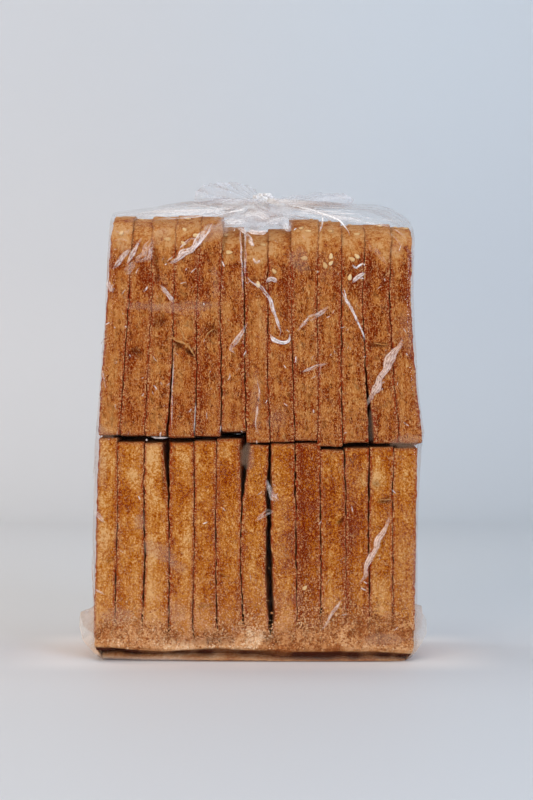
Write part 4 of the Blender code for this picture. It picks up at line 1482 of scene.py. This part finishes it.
def buildSeeds(material):
    # Copies of one shape, laid flat on the bread, each turned and scaled by chance: those seen in
    # the photo, then some scattered over the upper row's domes.
    rng = np.random.default_rng(sesame["seed"])
    shape, shapeFaces = seedShape()
    spots = []
    for column, photoRow in shownSeeds:
        x, z = [float(v) for v in onFilm(column, photoRow)]
        y, outY, outZ = breadFront(x, z)
        spots.append((x, y, z, outY, outZ))
    row, rise = upperRow, rusk["domeRise"]
    for _ in range(sesame["scattered"]):
        index = rng.integers(0, len(row["tops"]))
        at = rng.uniform(0.15, 0.85)
        x = row["edges"][index][-1] * (1 - at) + row["edges"][index + 1][-1] * at
        share = rng.uniform(0.0, sesame["reach"]) * (1 if rng.random() < sesame["behindShare"] else -1)
        up = superellipse(abs(share), rusk["domePower"])
        y = share * rusk["depth"] / 2 + row["setBack"][index]
        spots.append((x, y, row["tops"][index] - rise + rise * up, *domeNormal(share, up)))
    points, groups, tones = [], [[] for _ in shapeFaces], []
    for k, (x, y, z, outY, outZ) in enumerate(spots):
        turn, scale = rng.uniform(0, math.pi), rng.uniform(*sesame["scale"])
        across, out = np.array([1.0, 0.0, 0.0]), np.array([0.0, outY, outZ])
        first = across * math.cos(turn) + np.cross(out, across) * math.sin(turn)
        second = np.cross(out, first)
        turned = shape[:, :1] * first + shape[:, 1:2] * second + shape[:, 2:] * out
        centre = np.array([x, y, z]) + out * (sesame["size"][2] / 2 - sesame["sunk"])
        points.append(centre + turned * scale)
        for group, part in zip(groups, shapeFaces):
            group.append(part + k * len(shape))
        tones.append(np.full(len(shape), rng.uniform(0, 1)))
    faces = [np.vstack(group) for group in groups]
    attributes = {"tone": np.concatenate(tones)}
    makePiece("sesame_seeds", np.vstack(points), faces, material, attributes)


def seedFinish():
    # Hulled seeds, each of its own shade between two.
    look = Finish("sesame")
    tone = look.attributes("tone")[0]
    return look.surface(look.solid(look.mix(tone, srgb(206, 158, 96), srgb(228, 192, 136)), 0.5))


buildSeeds(seedFinish())
print("sesame seeds: done")


crumbs = {
    # Seed of the random draws, step along the bank, grains on it and loose grains above it.
    "front": (77, 0.55, 4200, 700),
    "back": (78, 1.1, 1100, 200),
    "backScale": (-0.965, -1.0, 1.0),    # turned half round, and as wide as the foot at the back
    "ends": (-74.0, 76.4),
    "domesStart": 26.3,     # height at which the lower row's domes start
    "domesBack": 0.9,       # and how far they are set back
    "levels": 26,           # down the bank's face
    "inside": 0.85,         # of the film
    "bankRelief": 0.24,
    "topSink": 0.5,
    "topUneven": 1.3,
    "hollow": 4.0,          # depth of the shadow under the bank
    "size": (0.30, 0.75),
    "looseSize": 0.55,      # of a loose grain, against one on the bank
    "large": (0.08, 1.25),  # share and size of larger grains
    "looseHeight": 14.0,    # mean height of the loose ones over the bank
    "looseMost": 95.0,      # and the highest place for one
    "pile": 2.5,            # mean height by which a grain lies above its place on the bank
    "cubeHalf": 0.62,       # of a grain's size
    "cubeRough": 0.35,      # how far its corners are pulled in and out
}
# Down the ledge of dust on the film: how far its rings stand in from the foot, and their height.
ledge = ((5.6, 0.95), (4.2, 0.85), (2.9, 0.70), (1.8, 0.52), (1.0, 0.32), (0.6, 0.10))
# How deep in shadow the rings of the hollow are, and those of the ledge.
hollowShade = (0.9, 1.0, 1.0, 0.98, 0.92, 0.80, 0.66, 0.50, 0.36, 0.25)
# Top of the bank of crumbs along the foot, and its lower edge, in photo pixels.
bankLine = (
    (96, 632, 647), (108, 621, 647.5), (115, 621, 648), (130, 620, 649.5), (150, 623, 650.5),
    (165, 626, 651.5), (172, 636, 651), (190, 640, 650), (205, 641, 648.5), (218, 641, 648),
    (232, 638, 649), (247, 624, 650), (262, 626, 650), (270, 640, 650), (290, 630, 651.5),
    (305, 621, 651), (325, 617, 651.2), (340, 616, 650.6), (355, 616, 651.4), (372, 617, 651),
    (385, 618, 652), (395, 620, 652.2), (405, 621, 653.4), (411, 622, 653.6), (417, 630, 654),
)
# How much darker the bank is near its lower edge, at some photo columns.
edgeTones = (
    (96, 0.0), (150, -0.05), (190, -0.15), (262, -0.12), (275, 0.22), (338, 0.18), (348, -0.25),
    (415, -0.25),
)


def bankEdges(x):
    # Heights of the bank's top and lower edge, straight between the columns in the table.
    columns, top, low = np.array(bankLine, float).T
    at = fromPhoto(columns, 0)[0]
    return [np.interp(x, at, fromPhoto(0, rows)[1]) for rows in (top, low)]


def bankFront(x, z, level):
    # The bank's face: just inside the film below, and sinking into the domes at its top.
    share = np.clip((crumbs["domesStart"] - z) / rusk["domeRise"], 0, 0.985)
    bread = crumbs["domesBack"] - rusk["depth"] / 2 * superellipse(share, rusk["domePower"])
    inside = filmFront(x, z) + crumbs["inside"]
    return inside + (np.maximum(bread, inside) + crumbs["topSink"] - inside) * ease(0.25, 1.0, level)


def bankRidge(step):
    # The bank is a closed ridge between the film and the slices' domes. Down its front it has a
    # granular face, a hollow in shadow, and a ledge of dust on the film.
    along = np.arange(*crumbs["ends"], step)
    top, low = bankEdges(along)
    top = top + crumbs["topUneven"] * layered(along / 2.2, 0, 0, 1001, 3)
    profile = []
    for level in np.linspace(1, 0, crumbs["levels"]):
        z = low + (top - low) * level
        relief = crumbs["bankRelief"] * layered(along / 0.9, z / 0.9, 0, 1010, 2)
        bevel = 1.2 * (1 - ease(0, 0.10, level))
        profile.append((bankFront(along, z, level) + np.clip(relief + 0.25, 0, None) - 0.25 + bevel, z))
    # Under it the crust turns away into a hollow, and dust on the film slopes out to the foot.
    edgeY, foot = profile[-1][0], filmFront(along, 0.5)
    slope = low * (0.36 + 0.40 * ease(40, -70, along)) + 0.7 * noise(along / 7, 0, 0, 1012)
    slope = np.maximum(slope, 0.9)
    for share in (0.25, 0.5, 0.75, 1.0):
        profile.append((edgeY + crumbs["hollow"] * share, low - (low - slope) * share))
    for forward, height in ledge:
        z = 0.25 + (slope - 0.25) * height + 0.15 * noise(along / 1.2, forward, 0, 1014)
        profile.append((foot + forward, z))
    profile.append((foot + 14.0, np.full_like(along, 0.3)))
    profile.append((profile[0][0] + 6.0, top - 1.0))
    # Both ends draw in towards the floor as the film's corners do.
    loop = [np.stack([drawnIn(along, bag["cornerIn"] * footRound(z)), y, z], -1) for y, z in profile]
    return along, np.stack(loop)


def turnBy(first, second):
    # A turn about z after a turn about x, as a matrix.
    c, s, c2, s2 = math.cos(first), math.sin(first), math.cos(second), math.sin(second)
    return np.array([[c, -s, 0], [s, c, 0], [0, 0, 1]]) @ np.array([[1, 0, 0], [0, c2, -s2], [0, s2, c2]])


def darkness(points):
    # The crumbs are darker towards the right and near the bank's edge, and paler in one place
    # near the middle and on the ledge at the left.
    x, _, z = points.T
    darker = 0.25 * ease(0, 60, x) + 0.07 * ease(-30, -50, x) - 0.06
    paleX, paleZ = fromPhoto(255, 637)
    away = np.hypot((x - paleX) / 4.5, (z - paleZ) / 6.0)
    darker = darker - 0.45 * ease(1.1, 0.7, away + 0.3 * noise(x / 3, 0, z / 3, 1030))
    columns, shifts = np.array(edgeTones).T
    fromEdge = z - bankEdges(x)[1]
    nearEdge = ease(6.0, 1.5, fromEdge) * ease(-6.0, -1.0, fromEdge)
    darker = darker + nearEdge * np.interp(x, fromPhoto(columns, 0)[0], shifts)
    return darker - 0.5 * ease(2.6, 0.6, z) * ease(-20, -45, x)


def crumbBank(seed, step, grains, loose):
    # The ridge, and grains that lie on it and above it: rough cubes with their corners pulled in
    # and out.
    rng = np.random.default_rng(seed)
    along, loop = bankRidge(step)
    around, count = loop.shape[:2]
    quadGroups = [gridQuads(around, count, wrapRows=True, flip=True)]
    rings = np.arange(around) * count
    offset = around * count + 2
    triGroups = [fan(rings, offset - 2, flip=True), fan(rings + count - 1, offset - 1)]
    pointGroups = [np.vstack([loop.reshape(-1, 3), loop[:, 0].mean(0), loop[:, -1].mean(0)])]
    shadow = np.zeros((around, 1))
    shadow[crumbs["levels"]:crumbs["levels"] + len(hollowShade), 0] = hollowShade
    uneven = 1 + 0.3 * layered(along / 8, 0, 0, 1016, 2)
    shades = [np.append(np.clip(shadow * uneven, 0, 1), [0, 0])]
    x, y, z = pointGroups[0].T
    speckle, drift = noise(x / 0.7, y / 0.7, z / 0.7, 1020), noise(x / 9, 0, z / 7, 1024)
    tones = [np.clip(0.5 + 0.35 * speckle + 0.25 * drift, 0, 1)]
    cube = np.array([[i, j, k] for i in (-1, 1) for j in (-1, 1) for k in (-1, 1)], float)
    cube = cube * crumbs["cubeHalf"]
    cubeFaces = np.array([[0, 1, 3, 2], [4, 6, 7, 5], [0, 4, 5, 1], [2, 3, 7, 6], [0, 2, 6, 4], [1, 5, 7, 3]])
    firstX, lastX = crumbs["ends"]
    largeShare, largeSize = crumbs["large"]
    for k in range(grains + loose):
        x = rng.uniform(firstX + 1, lastX - 1)
        high, low = [float(v) for v in bankEdges(x)]
        if k < grains:
            z = low + (high - low) * rng.uniform(0.02, 1.0) + rng.exponential(crumbs["pile"])
        else:
            z = min(high - 2.0 + rng.exponential(crumbs["looseHeight"]), crumbs["looseMost"])
        level = (z - low) / (high - low)
        y = min(float(bankFront(x, z, level)), breadFront(x, z)[0]) + rng.uniform(-0.05, 0.2)
        size = rng.uniform(*crumbs["size"]) * (largeSize if rng.random() < largeShare else 0.9)
        size = size * (1 if k < grains else crumbs["looseSize"])
        shape = cube * (1 + rng.uniform(-crumbs["cubeRough"], crumbs["cubeRough"], cube.shape)) * size
        spin = turnBy(*rng.uniform(0, 2 * math.pi, 2))
        pointGroups.append(shape @ spin.T + np.array([x, y, z]))
        quadGroups.append(cubeFaces + offset)
        tones.append(np.full(8, rng.uniform(0, 1)))
        shades.append(np.zeros(8))
        offset += 8
    allPoints = np.vstack(pointGroups)
    values = [np.concatenate(tones), np.concatenate(shades), darkness(allPoints)]
    return allPoints, np.vstack(quadGroups), np.vstack(triGroups), values


def buildCrumbs(material):
    # One bank at the front, and a coarser one at the back.
    points, quads, tris, values = crumbBank(*crumbs["front"])
    backPoints, backQuads, backTris, backValues = crumbBank(*crumbs["back"])
    start = len(points)
    points = np.vstack([points, backPoints * np.array(crumbs["backScale"])])
    faces = [np.vstack([quads, backQuads + start]), np.vstack([tris, backTris + start])]
    both = [np.concatenate(pair) for pair in zip(values, backValues)]
    makePiece("crumbs", points, faces, material, dict(zip(("tone", "shade", "darker"), both)))


def crumbFinish():
    # Grains from brown to pale by their tone, and nearly black where they lie in shadow.
    look = Finish("crumbs")
    tone, shade, darker = look.attributes("tone", "shade", "darker")
    plain = look.place()
    fine, clouds = look.grain(plain, 1.9, 3.0, 0.7), look.grain(plain, 0.2, 2.0, 0.6)
    tone = tone * 0.7 + (fine - 0.5) * 1.3 + (clouds - 0.5) * 0.8 - darker
    stops = [(0.0, srgb(152, 82, 36)), (0.3, srgb(198, 134, 78)), (0.6, srgb(220, 168, 118)),
             (1.0, srgb(250, 214, 172))]
    colour = look.mix(shade, look.ramp(tone, stops), srgb(78, 30, 12))
    return look.surface(look.solid(colour, 0.85, 0.1, look.relief(fine, 0.6, 0.0004)))


buildCrumbs(crumbFinish())
print("crumbs: done")


# Curled flakes of crust: a path in photo pixels, with the width and height of the curl.
flakes = (
    (((171, 335), (175, 340), (181, 342), (187, 345), (191, 350), (195, 356)), 1.1, 0.8),
    (((178, 327), (182, 332), (184, 338), (189, 341)), 0.8, 0.6),
    (((374, 343), (380, 344), (388, 345)), 0.6, 0.4),
    (((379, 499), (385, 500), (391, 499)), 0.6, 0.4),
    (((205, 339), (208, 333), (214, 329)), 0.6, 0.4),
)
flakeStyle = {
    "step": 0.4,
    "around": 10,
    # What the crust's finish reads from each of a flake's points.
    "marks": {"crust": 1.0, "bake": 0.12, "fibre": 0.4, "fromDome": 60.0, "fromFoot": 90.0, "upper": 1.0},
}


def buildFlakes(material):
    # Each flake is a closed ridge: an ellipse carried along its path, tapered to both ends.
    allPoints, groups, start = [], [[], [], []], 0
    count = flakeStyle["around"]
    around = np.arange(count)[None, :] * 2 * math.pi / count
    for k, (path, width, rise) in enumerate(flakes):
        curve, run = throughPoints([fromPhoto(*at) for at in path], flakeStyle["step"])
        along = directionOf(curve)
        run = run[:, None]
        taper = np.sqrt(np.clip(1 - (2 * run / run[-1] - 1) ** 2, 0.02, 1))
        taper = taper * (1 + 0.35 * noise(run / 1.3, 0, 0, 1100 + k))
        sideways = width / 2 * taper * np.cos(around)
        x, z = curve[:, :1] - along[:, 1:] * sideways, curve[:, 1:] + along[:, :1] * sideways
        y = np.array([breadFront(*at)[0] for at in curve])[:, None]
        y = y - rise * taper * np.sin(around) * 0.8 - 0.1 - 0.25 * noise(run / 0.9, around, 0, 1110 + k)
        flake = np.stack([x, y, z], -1)
        allPoints.append(np.vstack([flake.reshape(-1, 3), flake[[0, -1]].mean(1)]))
        for group, part in zip(groups, closedRings(len(curve), count, start)):
            group.append(part)
        start += len(allPoints[-1])
    attributes = {label: np.full(start, value) for label, value in flakeStyle["marks"].items()}
    faces = [np.vstack(group) for group in groups]
    makePiece("crust_flakes", np.vstack(allPoints), faces, material, attributes)


buildFlakes(ruskLook)
print("flakes:", len(flakes))


studio = {
    # Painted light on the stage: warmer to the left, cooler to the right, and a further blend up the wall.
    "leftColour": srgb(223, 221, 220),
    "rightColour": srgb(211, 217, 223),
    "leftAbove": srgb(217, 218, 220),
    "rightAbove": srgb(217, 224, 230),
    "colourSpan": 260.0,
    "aboveFrom": 170.0,
    "aboveTo": 560.0,
    # A painted pool of light on the floor close to the bag.
    "litPoolColour": srgb(246, 243, 241),    # close to the bag
    "litPoolShare": 0.75,
    "litPoolAway": 42.0,
    "bagHalf": (84.0, 44.0),
    "wallDistance": 1380.0,     # behind the bag's front
    "wallCurve": 260.0,
    "halfWidth": 3200.0,
    "frontReach": 3200.0,
    "wallHeight": 2600.0,
    "curvePoints": 24,
    "skyShown": srgb(206, 211, 220),
    "skyColour": (0.88, 0.94, 1.0),
    "skyLight": 0.10,
}
# Place, aim, size, power and colour of each light.
lights = {
    "keyRight": ((1015, -1740, 590), (0, 0, 110), (740, 740), 17.0, (0.77, 1.0, 1.36)),
    "warmLeft": ((-812, -1740, 590), (0, 0, 110), (880, 880), 14.2, (1.16, 1.0, 0.85)),
    "overhead": ((0, -100, 1600), (0, 0, 110), (1700, 1500), 12.5, (1.0, 1.0, 1.0)),
    "sideLeft": ((-2300, 250, 1500), (-1700, 150, 0), (1200, 800), 7.0, (1.06, 1.0, 0.94)),
    "sideRight": ((2300, 250, 1500), (1700, 150, 0), (1200, 800), 7.0, (1.06, 1.0, 0.94)),
    "backdrop": ((-900, 500, 900), (-300, 1336, 150), (500, 500), 2.3, (1.0, 1.0, 1.0)),
}


def addThing(name, data):
    # A camera, a light or a mesh, put into the scene.
    thing = bpy.data.objects.new(name, data)
    bpy.context.scene.collection.objects.link(thing)
    return thing


def floorFinish():
    # Painted light: warm to the left and cool to the right, blended up the wall, as the lights fall on the
    # stage, and paler close to the bag, a painted pool of light where the film throws light on the floor.
    look = Finish("floor")
    x = look.add("ShaderNodeSeparateXYZ", None, {"Vector": look.place()}, "X")
    sideways = look.span(x, -studio["colourSpan"], studio["colourSpan"])
    colour = look.mix(sideways, studio["leftColour"], studio["rightColour"])
    above = look.mix(sideways, studio["leftAbove"], studio["rightAbove"])
    colour = look.mix(look.span(x.other("Z"), studio["aboveFrom"], studio["aboveTo"]), colour, above)
    close = studio["litPoolShare"]
    for axis, half in zip((x, x.other("Y")), studio["bagHalf"]):
        away = half + studio["litPoolAway"]
        close = look.span(axis, -away, -half) * look.span(axis, away, half) * close
    return look.surface(look.solid(look.mix(close, colour, studio["litPoolColour"]), 0.62, 0.3))


def buildStage():
    # A floor that turns up into a wall by a quarter circle.
    wallY, curve = studio["wallDistance"] - rusk["depth"] / 2, studio["wallCurve"]
    turn = np.linspace(0, math.pi / 2, studio["curvePoints"])
    y = np.concatenate([[-studio["frontReach"]], wallY - curve + curve * np.sin(turn), [wallY]])
    z = np.concatenate([[0.0], curve - curve * np.cos(turn), [studio["wallHeight"]]])
    x = np.array([[-studio["halfWidth"], studio["halfWidth"]]])
    points = np.stack(np.broadcast_arrays(x, y[:, None], z[:, None]), -1).reshape(-1, 3)
    mesh = bpy.data.meshes.new("floor")
    quads = gridQuads(len(y), 2)
    mesh.from_pydata((points * 0.001).tolist(), [], quads.tolist())
    mesh.polygons.foreach_set("use_smooth", np.ones(len(quads), bool))
    mesh.materials.append(floorFinish())
    floor = addThing("floor", mesh)


def buildLights():
    # Soft rectangles, each turned to face its aim: pitch up from straight down, then yaw about z.
    for name, (place, aim, size, power, colour) in lights.items():
        lamp = bpy.data.lights.new(name, "AREA")
        lamp.shape = "RECTANGLE"
        lamp.size, lamp.size_y = [side * 0.001 for side in size]
        lamp.energy = power
        lamp.color = colour
        thing = addThing(name, lamp)
        thing.location = np.array(place) * 0.001
        x, y, z = np.array(aim) - np.array(place)
        pitch, yaw = math.atan2(math.hypot(x, y), -z), math.atan2(x, -y)
        thing.rotation_euler = (pitch, 0.0, math.pi + yaw)
        thing.visible_camera = False


def buildWorld():
    # Pale to the eye and dim as a light, so that the film keeps its contrast.
    world = bpy.data.worlds.new("studio")
    bpy.context.scene.world = world
    world.use_nodes = True
    nodes, links = world.node_tree.nodes, world.node_tree.links
    nodes.clear()
    shown, lit = nodes.new("ShaderNodeBackground"), nodes.new("ShaderNodeBackground")
    shown.inputs["Color"].default_value = (*studio["skyShown"], 1.0)
    lit.inputs["Color"].default_value = (*studio["skyColour"], 1.0)
    lit.inputs["Strength"].default_value = studio["skyLight"]
    path, mixer = nodes.new("ShaderNodeLightPath"), nodes.new("ShaderNodeMixShader")
    links.new(path.outputs["Is Camera Ray"], mixer.inputs[0])
    links.new(lit.outputs[0], mixer.inputs[1])
    links.new(shown.outputs[0], mixer.inputs[2])
    output = nodes.new("ShaderNodeOutputWorld")
    links.new(mixer.outputs[0], output.inputs["Surface"])


def buildCamera():
    # Level, at the eye's height, with a lens that shows the photo's rows on the bag's front.
    camera = bpy.data.cameras.new("camera")
    camera.sensor_width = 36.0
    shownHeight = photo["rows"] * photo["mmPerPixel"]
    camera.lens = camera.sensor_width * photo["cameraDistance"] / shownHeight
    camera.clip_start, camera.clip_end = 0.05, 20.0
    thing = addThing("camera", camera)
    eyeX, eyeZ = fromPhoto(photo["columns"] / 2, photo["eyeRow"])
    eyeY = -rusk["depth"] / 2 - photo["cameraDistance"]
    thing.location = (eyeX * 0.001, eyeY * 0.001, eyeZ * 0.001)
    thing.rotation_euler = (math.pi / 2, 0.0, 0.0)
    bpy.context.scene.camera = thing


buildStage()
buildLights()
buildWorld()
buildCamera()
bpy.context.scene.view_settings.view_transform = "Standard"
bpy.context.scene.cycles.transparent_max_bounces = 48
print("camera, lights and floor: done")
